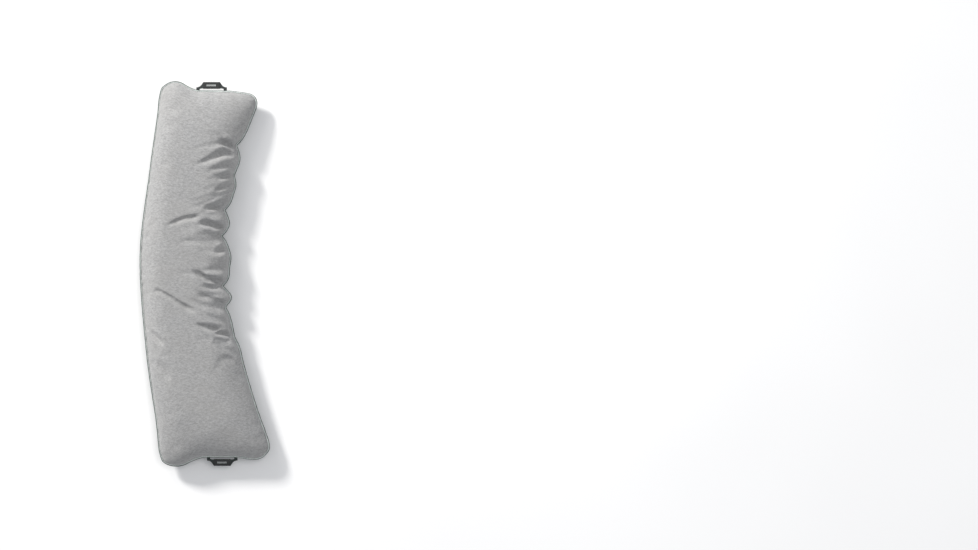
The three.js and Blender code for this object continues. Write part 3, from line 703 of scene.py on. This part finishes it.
# ---- Stitches: short rounded strokes of thread whose ends dip into the cloth ----
class Threads:
    """Gathers strokes of thread, and then makes one mesh of them."""
    # Along a stroke: the share of its length, its height in radii, and its thickness in radii.
    PROFILE = [(0, -0.9, 0.55), (0.12, 0.35, 0.95), (0.5, 0.6, 1.0), (0.88, 0.35, 0.95), (1, -0.9, 0.55)]
    SIDES = 6

    def __init__(self):
        self.verts, self.faces, self.uv = [], [], []

    def stroke(self, a, b, up, radius):
        a, b, up = (np.asarray(x, float) for x in (a, b, up))
        length = np.linalg.norm(b - a)
        side = np.cross((b - a) / length, up)
        side /= np.linalg.norm(side)
        start, n = len(self.verts), self.SIDES
        for t, h, r in self.PROFILE:
            c = a + (b - a) * t + up * radius * h
            turns = np.arange(n) / n * 2 * math.pi
            self.verts += [c + (side * math.cos(w) + up * math.sin(w)) * radius * r for w in turns]
        for k in range(4):
            for i in range(n):
                u0, u1, v0, v1 = k * length / 4, (k + 1) * length / 4, i / n * 0.002, (i + 1) / n * 0.002
                self.uv += [(u0, v0), (u0, v1), (u1, v1), (u1, v0)]
        self.faces += ring_quads(start, 5, n)
        self.faces += [range(start, start + n)[::-1], range(start + 4 * n, start + 5 * n)]
        self.uv += [(0, 0)] * 2 * n

    def row(self, line, up, stitch, gap, radius):
        line = np.asarray(line, float)
        run = steps(line)
        count = max(1, int(run[-1] / (stitch + gap)))
        step = run[-1] / count
        at = lambda s: np.array([np.interp(s, run, line[:, k]) for k in range(3)])
        for i in range(count):
            self.stroke(at(i * step), at((i + 1) * step - gap), up, radius)

    def build(self, name):
        return make_mesh(name, self.verts, self.faces, self.uv)


zip_threads = Threads()
half_window = WINDOW_LENGTH / 2
for a in (9.3 * MM, -9.3 * MM):
    ys = np.linspace(ZIP_Y - half_window - 7 * MM, ZIP_Y + half_window + 7 * MM, 60)
    zip_threads.row(strip_point(a, ys) + OUT * 0.12 * MM, OUT, 2.6 * MM, 0.7 * MM, 0.28 * MM)
for s in (-1, 1):
    for extra in (4, 7):
        y = ZIP_Y + s * (half_window + extra * MM)
        line = np.array([strip_point(a, y) for a in np.linspace(-9.3, 9.3, 8) * MM]).reshape(-1, 3)
        zip_threads.row(line + OUT * 0.12 * MM, OUT, 2.2 * MM, 0.6 * MM, 0.28 * MM)
zip_stitching = zip_threads.build("zip_stitching")


# ---- Zip coils: bent turns of nylon, half a pitch apart on the two sides ----
# One turn, from the zip's middle out and back: across the strip and out of it, in millimetres.
TURN = np.array([(0.62, 0.30), (0.55, -0.15), (0.62, -0.60), (1.2, -0.78), (2.2, -0.80), (3.1, -0.72),
                 (3.28, -0.15), (3.1, 0.42), (2.2, 0.52), (1.2, 0.50)]) * MM
PITCH, WIRE = 1.5 * MM, 0.31 * MM
ALONG = np.array([0, 1.0, 0])


def coil_row(name, side, shift):
    lo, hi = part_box("zip_coil_outer")
    n, sides = len(TURN), 6
    verts, faces = [], []
    for i in range(int((hi.y - lo.y) / PITCH)):
        y = lo.y + PITCH * (i + 0.5 + shift)
        if y > hi.y - WIRE:
            break
        faces += ring_quads(len(verts), n, sides, closed=True)
        for k in range(n):
            c = STRIP_ORIGIN + ACROSS * side * TURN[k, 0] + OUT * TURN[k, 1]
            c[1] = y + (k / n - 0.5) * PITCH * 0.42
            t = TURN[(k + 1) % n] - TURN[k - 1]
            away = np.cross(ACROSS * side * t[0] + OUT * t[1], ALONG) / np.linalg.norm(t)
            wire = WIRE * (1.25 if k < 3 else 1.0)  # the heads that mesh are fatter
            turns = np.arange(sides) / sides * 2 * math.pi
            verts += [c + (away * math.cos(w) + ALONG * math.sin(w)) * wire for w in turns]
    return make_mesh(name, verts, faces, np.zeros((4 * len(faces), 2)))


coil_outer = coil_row("coil_turns_outer", 1, 0.0)
coil_inner = coil_row("coil_turns_inner", -1, 0.5)


# ---- End straps: ribbed elastic, sewn under the seam, with a woven label round the middle ----
def bezier(p0, p1, p2, p3, t):
    t = np.asarray(t, float)[:, None]
    p0, p1, p2, p3 = (np.array(p, float) for p in (p0, p1, p2, p3))
    return p0 * (1 - t) ** 3 + 3 * p1 * t * (1 - t) ** 2 + 3 * p2 * t * t * (1 - t) + p3 * t ** 3


def slab(name, layers, uv):
    """A closed body between two grids of points, with walls between their rims."""
    r, c = layers[0].shape[:2]
    faces = grid_faces(r, c) + grid_faces(r, c, r * c, flip=True)
    rim = rim_of(np.arange(r * c).reshape(r, c))
    faces += [(a, b, b + r * c, a + r * c) for a, b in zip(rim, np.roll(rim, -1))]
    return make_mesh(name, np.reshape(layers, (-1, 3)), faces, np.reshape(uv, (-1, 2)))


def strap(name, node, out):
    """The band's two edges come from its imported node's box; its ends run in under the piping."""
    lo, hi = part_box(node)
    mid, half = (lo.x + hi.x) / 2, (hi.x - lo.x) / 2
    hinge, tip = (lo.y, hi.y) if out > 0 else (hi.y, lo.y)
    level, thick = (lo.z + hi.z) / 2, hi.z - lo.z
    far = abs(tip - hinge)
    # Half the label's width, and what the band's two edges need to bend from there to the sewn ends.
    straight, bend, wide = 29 * MM, 7 * MM, 26 * MM
    reach, far_end = far - 18.5 * MM, 8 * MM
    t = np.linspace(0, 1, 16)
    near_side = bezier((-half, 0), (-half + bend, 0), (-straight - bend, reach), (-straight, reach), t)
    far_side = bezier((-half, far_end), (-half + 9 * MM, far_end + 1 * MM),
                      (-wide - 6 * MM, far - 12 * MM), (-wide, far), t)
    xs = np.concatenate([near_side[:-1, 0], np.linspace(-straight, straight, 50), -near_side[:-1, 0][::-1]])
    near, beyond = (np.interp(xs, np.r_[a[:, 0], -a[::-1, 0]], np.r_[a[:, 1], a[::-1, 1]])[:, None]
                    for a in (near_side, far_side))
    ribs = 9
    across = np.linspace(0, 1, ribs * 4 + 1)
    y = near + (beyond - near) * across
    edge = np.minimum(across, 1 - across) * (beyond - near)
    rib = 0.87 - 0.13 * np.cos(across * ribs * 2 * math.pi)
    h = thick / 2 * rib * (0.35 + 0.65 * np.minimum(1, edge / (0.9 * MM)) ** 0.5)
    x = xs[:, None] + 0 * y
    pieces = [slab(name, [np.dstack([mid + x, hinge + out * y, level + k * h]) for k in (1, -1)],
                   [np.dstack([x, k * y]) for k in (1, -1)])]
    # Each end has a tab that runs in under the piping, with a zigzag bar tack across it outside the piping.
    tab = 10 * MM
    y = np.linspace(4.0, -7.5, 14)[:, None] * MM
    z = level + 1.9 * MM * smoothstep(0.0, -6.5 * MM, y)
    s = np.linspace(-1, 1, 13)
    h = thick / 2 * (0.80 + 0.16 * np.cos(s * math.pi * 5)) * np.minimum(1, 0.4 + 3 * (1 - np.abs(s)))
    threads = Threads()
    for side in (-1, 1):
        middle = mid + side * (half - tab / 2)
        layers = [np.stack(np.broadcast_arrays(middle + s * tab / 2 * 0.96, hinge + out * y, z + k * h), -1)
                  for k in (1, -1)]
        pieces.append(slab(f"{name}_tab{side}", layers, [g[..., 1::-1] for g in layers]))
        for bar in (-2.6, -0.7):
            xs = middle + np.linspace(-tab / 2 * 0.86, tab / 2 * 0.86, 15)
            for i in range(14):
                y1, y2 = (hinge + out * (bar + lean) * MM for lean in ((0.7, -0.7) if i % 2 else (-0.7, 0.7)))
                z1 = level + thick / 2 + 0.12 * MM
                threads.stroke((xs[i], y1, z1), (xs[i + 1], y2, z1), (0, 0, 1), 0.24 * MM)
    return join(name, pieces), threads.build(name + "_bar_tacks"), Vector((mid, hinge, level))


left_band, left_tacks, left_hinge = strap("left_band", "left_end_strap", 1)
right_band, right_tacks, right_hinge = strap("right_band", "right_end_strap", -1)


def label(name, node):
    """A flat woven sleeve whose two long sides are folds."""
    lo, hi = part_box(node)
    yc, zc = (lo.y + hi.y) / 2, (lo.z + hi.z) / 2
    hy, hz = (hi.y - lo.y) / 2, (hi.z - lo.z) / 2
    wall, hem = 0.55 * MM, 0.12 * MM
    n, c = 41, 64
    turn = np.arange(c) / c * 2 * math.pi
    cy, cz = (np.copysign(np.abs(a) ** power, a) for a, power in ((np.cos(turn), 0.35), (np.sin(turn), 0.62)))
    verts, uv = [], []
    for inner in (0, 1):
        for i, x in enumerate(np.linspace(lo.x, hi.x, n)):
            raised = hem if not inner and min(i, n - 1 - i) in (1, 2) else 0
            y = cy * (hy - wall * inner)
            z = cz * (hz - wall * inner + raised - 0.2 * MM)
            verts.append(np.column_stack([0 * y + x, yc + y, zc + z]))
            uv.append(np.column_stack([0 * y + x - lo.x, y + hy + np.where(cz < 0, 0.1, 0)]))
    faces = ring_quads(0, n, c) + ring_quads(n * c, n, c)
    for i in (0, (n - 1) * c):
        faces += [(i + k, i + (k + 1) % c, (n * c) + i + (k + 1) % c, n * c + i + k) for k in range(c)]
    ob = make_mesh(name, np.concatenate(verts), faces, np.concatenate(uv))
    threads = Threads()
    for x in (lo.x + 2.2 * MM, hi.x - 2.2 * MM):
        line = np.array([(x, y, hi.z - 0.16 * MM) for y in np.linspace(lo.y + 1.5 * MM, hi.y - 1.5 * MM, 12)])
        threads.row(line, (0, 0, 1), 1.7 * MM, 0.5 * MM, 0.2 * MM)
    return ob, threads.build(name + "_stitching")


left_label, left_label_stitch = label("left_label", "left_strap_label")
right_label, right_label_stitch = label("right_label", "right_strap_label")


# ---- Insert: a sewn casing full of fibre, clear of the cover's creases ----
def insert_surface(depth):
    """Upper and lower grids of a closed pad inside the cover, depth inside the casing's outer face."""
    r, c = 90, 34
    iu = even_steps(0.05, 1.1, lambda t: dome(t, 0.5), r)
    A, B = np.meshgrid(iu, even_steps(0.05, 0.22, lambda t: dome(0.5, t), c), indexing="ij")
    end = (22 * MM + depth) / 1.15
    width = np.linalg.norm(along(OUTER, iu) - along(INNER, iu), axis=1)[:, None]
    u2 = end + (1 - 2 * end) * A
    v2 = (42 * MM + depth) / width + (1 - (42 * MM + 34 * MM + 2 * depth) / width) * B
    p = plan(u2, v2)
    # The cover's lowest point near each place, less the room between them.
    low = np.full(A.shape, 1e9)
    for du in range(-4, 5, 2):
        for dv in range(-4, 5, 2):
            ui = np.clip(np.interp(u2, U, np.arange(len(U))) + du, 0, len(U) - 1)
            vi = np.clip(np.interp(v2, V, np.arange(len(V))) + dv, 0, len(V) - 1)
            low = np.minimum(low, TOP_GRID[ui.astype(int), vi.astype(int), 2])
    crown = low - 5.5 * MM - depth
    share = dome(A, B)
    level = SEAM_Z
    upper = level + (np.maximum(crown, level + 4 * MM - 0.8 * depth) - level) * share
    lower = level - (level - 4.2 * MM - depth) * np.sqrt(np.clip(1 - np.abs(2 * A - 1) ** 10, 0, 1)
                                                          * np.clip(1 - np.abs(2 * B - 1) ** 3.2, 0, 1))
    return smooth_grid(np.dstack([p, upper]), 2), np.dstack([p, lower])


def closed_pad(name, depth):
    upper, lower = insert_surface(depth)
    r, c = upper.shape[:2]
    lower[0], lower[-1], lower[:, 0], lower[:, -1] = upper[0], upper[-1], upper[:, 0], upper[:, -1]
    verts = np.concatenate([upper, lower]).reshape(-1, 3)
    pad = make_mesh(name, verts, grid_faces(r, c, flip=True) + grid_faces(r, c, r * c), verts[:, :2])
    face_out(pad)
    return pad


casing = closed_pad("insert_casing", 0.0)
fibre = closed_pad("fibre_filling", 3.2 * MM)
casing = solidify(casing, 1.0 * MM, 1.0)


# ---- Materials ----
def grey(c, f):
    """The colour c, f times as bright."""
    return tuple(min(1.0, x * f) for x in c)


class Shader:
    """A small builder for node materials. Coordinates are in millimetres."""

    def __init__(self, name, **fixed):
        self.m = bpy.data.materials.new(name)
        self.m.use_nodes = True
        self.t = self.m.node_tree
        self.t.nodes.clear()
        self.out = self.add("ShaderNodeOutputMaterial")
        self.bsdf = self.add("ShaderNodeBsdfPrincipled")
        for key, value in fixed.items():
            self.bsdf.inputs[key.replace("_", " ")].default_value = value
        self.t.links.new(self.bsdf.outputs[0], self.out.inputs[0])

    def add(self, kind, inputs=None, **props):
        n = self.t.nodes.new(kind)
        for k, v in props.items():
            setattr(n, k, v)
        for k, v in (inputs or {}).items():
            if isinstance(v, bpy.types.NodeSocket):
                self.t.links.new(v, n.inputs[k])
            else:
                n.inputs[k].default_value = v
        return n

    def math(self, op, *values, clamp=False):
        return self.add("ShaderNodeMath", dict(enumerate(values)), operation=op, use_clamp=clamp).outputs[0]

    def times(self, a, b):
        return self.math("MULTIPLY", a, b)

    def plus(self, a, b, times=None):
        """a + b, or a + b * times."""
        return self.math("ADD", a, b if times is None else self.times(b, times))

    def cloth_uv(self):
        uv = self.add("ShaderNodeUVMap", uv_map="cloth").outputs[0]
        parts = self.add("ShaderNodeSeparateXYZ", {0: uv})
        return [self.times(parts.outputs[i], 1000.0) for i in range(2)]

    def place(self):
        p = self.add("ShaderNodeTexCoord").outputs["Object"]
        parts = self.add("ShaderNodeSeparateXYZ", {0: p})
        return [self.times(parts.outputs[i], 1000.0) for i in range(3)]

    def zip_place(self):
        """Across the zip's strip from its middle, and along it."""
        x, y, z = self.place()
        dx, dz = (self.plus(a, float(-at / MM)) for a, at in ((x, STRIP_ORIGIN[0]), (z, STRIP_ORIGIN[2])))
        return self.plus(self.times(dx, float(ACROSS[0])), dz, float(ACROSS[2])), y

    def point(self, x, y, z=0.0):
        return self.add("ShaderNodeCombineXYZ", {0: x, 1: y, 2: z}).outputs[0]

    def noise(self, u, v, su, sv, detail=2.0, rough=0.5, w=0.0):
        p = self.point(self.math("DIVIDE", u, su), self.math("DIVIDE", v, sv), w)
        n = self.add("ShaderNodeTexNoise", {"Vector": p, "Scale": 1.0, "Detail": detail, "Roughness": rough})
        return n.outputs[0]

    def sine(self, x, pitch, shift=0.0):
        """A wave from 0 to 1."""
        s = self.math("SINE", self.plus(self.times(x, 2 * math.pi / pitch), shift))
        return self.plus(self.times(s, 0.5), 0.5)

    def weave(self, u, v, pitch_u, pitch_v):
        """Threads that pass over and under each other."""
        over = self.times(self.sine(u, pitch_u), self.sine(v, pitch_v))
        return self.plus(over, self.times(self.sine(u, pitch_u, math.pi), self.sine(v, pitch_v, math.pi)))

    def ramp(self, f, stops):
        n = self.add("ShaderNodeValToRGB", {0: f})
        n.color_ramp.interpolation = "EASE"
        e = n.color_ramp.elements
        e[0].position, e[1].position = stops[0][0], stops[-1][0]
        e[0].color, e[1].color = (*stops[0][1], 1), (*stops[-1][1], 1)
        for at, c in stops[1:-1]:
            e.new(at).color = (*c, 1)
        return n.outputs[0]

    def shades(self, f, base, *stops):
        """A ramp of one colour: each stop is where on f it is, and how bright."""
        return self.ramp(f, [(at, grey(base, bright)) for at, bright in stops])

    def mix(self, f, a, b):
        n = self.add("ShaderNodeMix", data_type="RGBA", blend_type="MIX")
        for i, v in ((0, f), (6, a), (7, b)):
            if isinstance(v, bpy.types.NodeSocket):
                self.t.links.new(v, n.inputs[i])
            else:
                n.inputs[i].default_value = v if i == 0 else (*v, 1)
        return n.outputs[2]

    def range(self, f, lo, hi, to_lo=0.0, to_hi=1.0):
        return self.add("ShaderNodeMapRange", {0: f, 1: lo, 2: hi, 3: to_lo, 4: to_hi}).outputs[0]

    def tint(self, tone, color, f, lo, hi, at_lo, at_hi):
        """Mixes a colour into the tone, by at_lo where f is lo and at_hi where it is hi."""
        return self.mix(self.range(f, lo, hi, at_lo, at_hi), tone, color)

    def finish(self, color, rough, height=None, depth=0.3, strength=1.0):
        """depth is the relief's height in millimetres."""
        self.t.links.new(color, self.bsdf.inputs["Base Color"])
        self.t.links.new(rough, self.bsdf.inputs["Roughness"])
        if height is not None:
            bump = self.add("ShaderNodeBump", {"Height": height, "Distance": depth * MM,
                                               "Strength": strength})
            self.t.links.new(bump.outputs[0], self.bsdf.inputs["Normal"])
        return self.m


def cloth(name, sheen, sheen_roughness, gloss):
    """A shader for cloth, and the two coordinates along its threads."""
    s = Shader(name, Sheen_Weight=sheen, Sheen_Roughness=sheen_roughness, Specular_IOR_Level=gloss)
    return s, *s.cloth_uv()


def heathered_cloth():
    s, u, v = cloth("upper_cloth", 0.35, 0.5, 0.2)
    base = (0.315, 0.315, 0.314)
    # Yarns of mixed greys: fine weft streaks, a few thick ones, and fainter warp.
    weft = s.noise(u, v, 6.5, 0.8, 2, 0.6)
    slub = s.noise(u, v, 9.0, 4.2, 3, 0.75, 3.3)
    warp = s.noise(u, v, 0.8, 6, 2, 0.6, 7.1)
    broad = s.noise(u, v, 90, 70, 3, 0.5, 1.7)
    yarn = s.plus(s.plus(s.times(weft, 0.26), warp, 0.18), slub, 0.56)
    tone = s.shades(yarn, base, (0.34, 0.58), (0.44, 0.86), (0.50, 1), (0.56, 1.14), (0.66, 1.46))
    tone = s.tint(tone, (0.325, 0.318, 0.305), broad, 0.3, 0.7, 0.0, 0.30)
    weave = s.weave(u, v, 1.15, 1.05)
    tone = s.tint(tone, grey(base, 0.42), weave, 0.0, 0.8, 0.32, 0.0)
    height = s.plus(s.times(weave, 0.5), slub, 1.1)
    return s.finish(tone, s.range(weft, 0.3, 0.7, 0.86, 0.97), height, 0.35, 0.7)


def ripstop():
    s, u, v = cloth("base_cloth", 0.12, 0.45, 0.4)
    base = (0.066, 0.081, 0.076)
    cell = 6.5
    ribs = [s.range(s.math("PINGPONG", s.plus(a, 1000.0), cell / 2), 0.25, 0.6, 1.0, 0.0) for a in (u, v)]
    rib = s.math("MAXIMUM", *ribs)
    yarn = s.noise(u, v, 9, 1.2, 2, 0.6)
    worn = s.noise(u, v, 75, 110, 4, 0.6, 2.0)
    tone = s.shades(yarn, base, (0.3, 0.72), (0.5, 1), (0.72, 1.4))
    tone = s.mix(s.times(rib, 0.55), tone, grey(base, 1.75))
    tone = s.tint(tone, (0.125, 0.130, 0.118), worn, 0.5, 0.75, 0.0, 0.30)
    height = s.plus(s.times(s.weave(u, v, 0.8, 0.8), 0.35), rib, 0.9)
    return s.finish(tone, s.range(worn, 0.35, 0.7, 0.62, 0.86), height, 0.22, 0.8)


def twill(name, base, pitch, sheen, worn_to):
    s, u, v = cloth(name, sheen, 0.4, 0.3)
    ridge = s.sine(s.plus(u, v), pitch)
    yarn = s.noise(u, v, 3.0, 1.0, 2, 0.6)
    rubbed = s.noise(u, v, 60, 30, 4, 0.65, 4.0)
    tone = s.shades(yarn, base, (0.3, 0.75), (0.5, 1), (0.72, 1.3))
    tone = s.tint(tone, grey(base, 0.5), ridge, 0.0, 0.5, 0.45, 0.0)
    tone = s.tint(tone, worn_to, rubbed, 0.52, 0.72, 0.0, 0.4)
    return s.finish(tone, s.range(rubbed, 0.3, 0.7, 0.72, 0.9), s.plus(ridge, yarn, 0.5), 0.25, 0.8)


def thread(name, base):
    s, u, v = cloth(name, 0.2, 0.35, 0.5)
    ply = s.sine(s.plus(u, v, 0.9), 0.55)
    tone = s.shades(ply, base, (0.0, 0.45), (0.5, 1), (1.0, 1.35))
    return s.finish(tone, s.range(ply, 0, 1, 0.62, 0.5), ply, 0.12, 0.9)


def webbing():
    s, u, v = cloth("elastic_webbing", 0.25, 0.4, 0.35)
    base = (0.026, 0.031, 0.030)
    chevron = s.sine(s.plus(u, s.math("PINGPONG", s.plus(v, 500.0), 1.03), 1.2), 1.3)
    fuzz = s.noise(u, v, 1.2, 0.5, 2, 0.7)
    rubbed = s.noise(u, v, 18, 5, 3, 0.6, 5.0)
    tone = s.shades(fuzz, base, (0.3, 0.7), (0.5, 1), (0.75, 2.0))
    tone = s.tint(tone, grey(base, 2.6), chevron, 0.55, 0.9, 0.0, 0.45)
    tone = s.tint(tone, (0.085, 0.090, 0.086), rubbed, 0.55, 0.75, 0.0, 0.5)
    height = s.plus(s.sine(u, 1.3), chevron, 0.8)
    return s.finish(tone, s.range(chevron, 0, 1, 0.85, 0.65), height, 0.25, 0.9)


def woven_label():
    # u is 0 to 50 along the strap, v 0 to about 20 across, and 100 more underneath.
    s, u, v = cloth("woven_label", 0.15, 0.3, 0.5)
    ground, ink = (0.0095, 0.0105, 0.0105), (0.52, 0.54, 0.53)

    def inside(x, lo, hi, soft=0.12):
        return s.times(s.range(x, lo - soft, lo + soft), s.range(x, hi - soft, hi + soft, 1.0, 0.0))

    # A plain woven row of upright bars, all alike.
    bars = s.range(s.math("PINGPONG", u, 1.6), 0.72, 0.88)
    drawn = s.times(bars, s.times(inside(u, 9.6, 38.4), inside(v, 7.6, 12.8)))
    pick = s.weave(u, v, 0.36, 0.5)
    shade = s.noise(u, v, 1.1, 0.5, 2, 0.6)
    dark = s.shades(shade, ground, (0.3, 0.7), (0.55, 1), (0.75, 2.2))
    tone = s.mix(drawn, dark, s.shades(shade, ink, (0.3, 0.7), (0.7, 1.1)))
    return s.finish(tone, s.range(pick, 0, 1, 0.62, 0.46), s.plus(pick, drawn, 0.8), 0.12, 0.8)


def zip_tape():
    s = Shader("zip_tape", Sheen_Weight=0.15, Sheen_Roughness=0.4, Specular_IOR_Level=0.35)
    a, y = s.zip_place()
    base = (0.028, 0.032, 0.031)
    bone = s.sine(s.plus(y, s.math("PINGPONG", s.plus(a, 200.0), 1.6)), 0.9)
    yarn = s.noise(a, y, 0.8, 3, 2, 0.6)
    tone = s.shades(yarn, base, (0.3, 0.7), (0.5, 1), (0.75, 1.9))
    tone = s.tint(tone, grey(base, 0.45), bone, 0.0, 0.5, 0.5, 0.0)
    return s.finish(tone, s.range(yarn, 0.3, 0.7, 0.7, 0.85), bone, 0.15, 0.8)


def nylon():
    s = Shader("zip_nylon", Specular_IOR_Level=0.5)
    a, y = s.zip_place()
    base = (0.036, 0.041, 0.043)
    n = s.noise(a, y, 2.5, 4, 3, 0.6)
    scuff = s.noise(a, y, 0.4, 14, 3, 0.6, 2.0)
    tone = s.tint(s.shades(n, base, (0.3, 0.8), (0.7, 1.3)), grey(base, 2.4), scuff, 0.55, 0.75, 0.0, 0.5)
    return s.finish(tone, s.range(scuff, 0.4, 0.7, 0.34, 0.55), n, 0.03, 0.5)


def gunmetal():
    s = Shader("zip_metal", Metallic=1.0, Specular_IOR_Level=0.5)
    a, y = s.zip_place()
    x, _, z = s.place()
    fine = s.noise(s.plus(a, z), y, 0.35, 2.2, 3, 0.6)
    spots = s.noise(s.plus(x, z), y, 3.0, 3.0, 4, 0.7, 3.0)
    tone = s.shades(fine, (0.105, 0.112, 0.118), (0.3, 0.75), (0.7, 1.25))
    tone = s.tint(tone, (0.42, 0.41, 0.39), spots, 0.60, 0.72, 0.0, 0.75)
    return s.finish(tone, s.range(fine, 0.3, 0.7, 0.28, 0.44), fine, 0.02, 0.5)


def ticking(name, base, scale):
    s, u, v = cloth(name, 0.2, 0.5, 0.2)
    dots = s.times(s.sine(u, scale), s.sine(v, scale))
    fibres = s.noise(u, v, 3.5, 1.2, 4, 0.7)
    tone = s.shades(fibres, base, (0.3, 0.82), (0.5, 1), (0.72, 1.06))
    tone = s.tint(tone, grey(base, 0.7), dots, 0.4, 0.9, 0.0, 0.25)
    return s.finish(tone, s.range(fibres, 0.3, 0.7, 0.85, 0.96), s.plus(fibres, dots, -0.6), 0.3, 0.7)


def dress(ob, material, slot_name, body, *stands_for):
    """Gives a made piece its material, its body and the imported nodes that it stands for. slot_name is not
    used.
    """
    if ob is not casing:  # whose inner shell faces inwards
        face_out(ob)
    ob.data.materials.clear()
    ob.data.materials.append(material)
    for p in ob.data.polygons:
        p.material_index = 0
    if body:
        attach(ob, body)
    if stands_for:
        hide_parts(*stands_for)


piping_cloth = twill("piping_cloth", (0.050, 0.066, 0.060), 1.5, 0.15, (0.150, 0.165, 0.155))
# The welt's pale colour is partly its own and partly a painted highlight of the seam's edge catching the
# light.
welt_cloth = twill("welt_cloth", (0.60, 0.645, 0.62), 1.2, 0.25, (0.50, 0.52, 0.50))
dark_thread = thread("thread", (0.020, 0.024, 0.023))
zip_thread = thread("zip_thread", (0.115, 0.125, 0.120))
elastic, label_cloth, coil_nylon = webbing(), woven_label(), nylon()
casing_cloth = ticking("insert_ticking", (0.80, 0.78, 0.73), 2.2)
fibre_stuff = ticking("polyester_fibre", (0.88, 0.87, 0.84), 9.0)
dress(top, heathered_cloth(), "upper_cloth", "pillow", "cover_top_panel")
dress(base, ripstop(), "base_cloth", "pillow", "cover_base_panel")
dress(piping, piping_cloth, "piping_cloth", "pillow", "seam_piping")
dress(welt, welt_cloth, "welt_cloth", "pillow", "top_seam_welt")
dress(zip_stitching, zip_thread, "thread", "pillow")
dress(coil_outer, coil_nylon, "zip_nylon", "pillow", "zip_coil_outer")
dress(coil_inner, coil_nylon, "zip_nylon", "pillow", "zip_coil_inner")
dress(left_tacks, dark_thread, "thread", "pillow", "left_strap_tack_outer", "left_strap_tack_inner")
dress(right_tacks, dark_thread, "thread", "pillow", "right_strap_tack_outer", "right_strap_tack_inner")
dress(casing, casing_cloth, "insert_ticking", "pillow", "insert_casing_top", "insert_casing_base")
dress(fibre, fibre_stuff, "polyester_fibre", "pillow", "fibre_fill")
for band, node, body, hinge, out in ((left_band, "left_end_strap", "left_strap", left_hinge, 1),
                                     (right_band, "right_end_strap", "right_strap", right_hinge, -1)):
    dress(band, elastic, "elastic_webbing", None, node)
    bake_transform(band)
dress(left_label, label_cloth, "woven_label", "left_strap", "left_strap_label")
dress(right_label, label_cloth, "woven_label", "right_strap", "right_strap_label")
dress(left_label_stitch, dark_thread, "thread", "left_strap")
dress(right_label_stitch, dark_thread, "thread", "right_strap")

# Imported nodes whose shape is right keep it, and get a finish of their own.
tape_cloth, metal = zip_tape(), gunmetal()
for node in ("zip_tape_outer", "zip_tape_inner", "zip_top_stop_outer", "zip_top_stop_inner",
             "zip_bottom_stop", "zip_slider", "zip_pull_tab"):
    NODES[node].data.materials.clear()
    NODES[node].data.materials.append(tape_cloth if "tape" in node else metal)


# ---- Floor, light and camera ----
def floor():
    n = 40
    a = np.linspace(-14, 14, n)
    X, Y = np.meshgrid(a, a, indexing="ij")
    points = np.column_stack([X.ravel(), Y.ravel(), np.full(n * n, -0.4 * MM)])
    ob = make_mesh("floor", points, grid_faces(n, n), points[:, :2])
    s = Shader("pale_floor", Specular_IOR_Level=0.2)
    x, y, _ = s.place()
    broad = s.noise(x, y, 900, 900, 2, 0.5)
    tone = s.ramp(broad, [(0.3, (0.84, 0.84, 0.838)), (0.7, (0.86, 0.86, 0.858))])
    ob.data.materials.append(s.finish(tone, s.range(broad, 0.3, 0.7, 0.9, 0.95)))
    return ob


def area_light(name, at, aim, size, watts, color=(1, 1, 1)):
    data = bpy.data.lights.new(name, "AREA")
    data.shape, data.size, data.energy, data.color = "DISK", size, watts, color
    ob = bpy.data.objects.new(name, data)
    bpy.context.scene.collection.objects.link(ob)
    ob.location = at
    ob.rotation_mode = "QUATERNION"
    ob.rotation_quaternion = (Vector(aim) - Vector(at)).to_track_quat("-Z", "Y")
    return ob


floor()
area_light("key", (-5.3, 5.8, 4.2), (0.2, 0, 0), 1.6, 945, (1.0, 0.985, 0.965))
area_light("near", (-0.9, 1.7, 1.3), (0, 0.3, 0), 0.8, 10, (1.0, 0.985, 0.965))
area_light("top", (1.9, 0.2, 4.8), (1.5, 0, 0), 3.5, 88)
world = bpy.data.worlds.new("pale_room")
world.use_nodes = True
world.node_tree.nodes["Background"].inputs[0].default_value = (0.93, 0.95, 1.0, 1)
world.node_tree.nodes["Background"].inputs[1].default_value = 0.455
scene = bpy.context.scene
scene.world = world
scene.view_settings.view_transform = "Standard"
scene.view_settings.look = "None"

camera_data = bpy.data.cameras.new("camera")
camera = bpy.data.objects.new("camera", camera_data)
scene.collection.objects.link(camera)
# Straight above the middle of the scene that the pillow lies in, its length up the picture.
FRAME_WIDTH, DISTANCE = 2.934, 7.0
camera.location = (0.855, -0.003, DISTANCE)
camera.rotation_euler = (0, 0, 0)
camera_data.sensor_width = 36
camera_data.lens = 36 * (DISTANCE - 0.06) / FRAME_WIDTH
camera_data.clip_start, camera_data.clip_end = 0.1, 60
scene.camera = camera
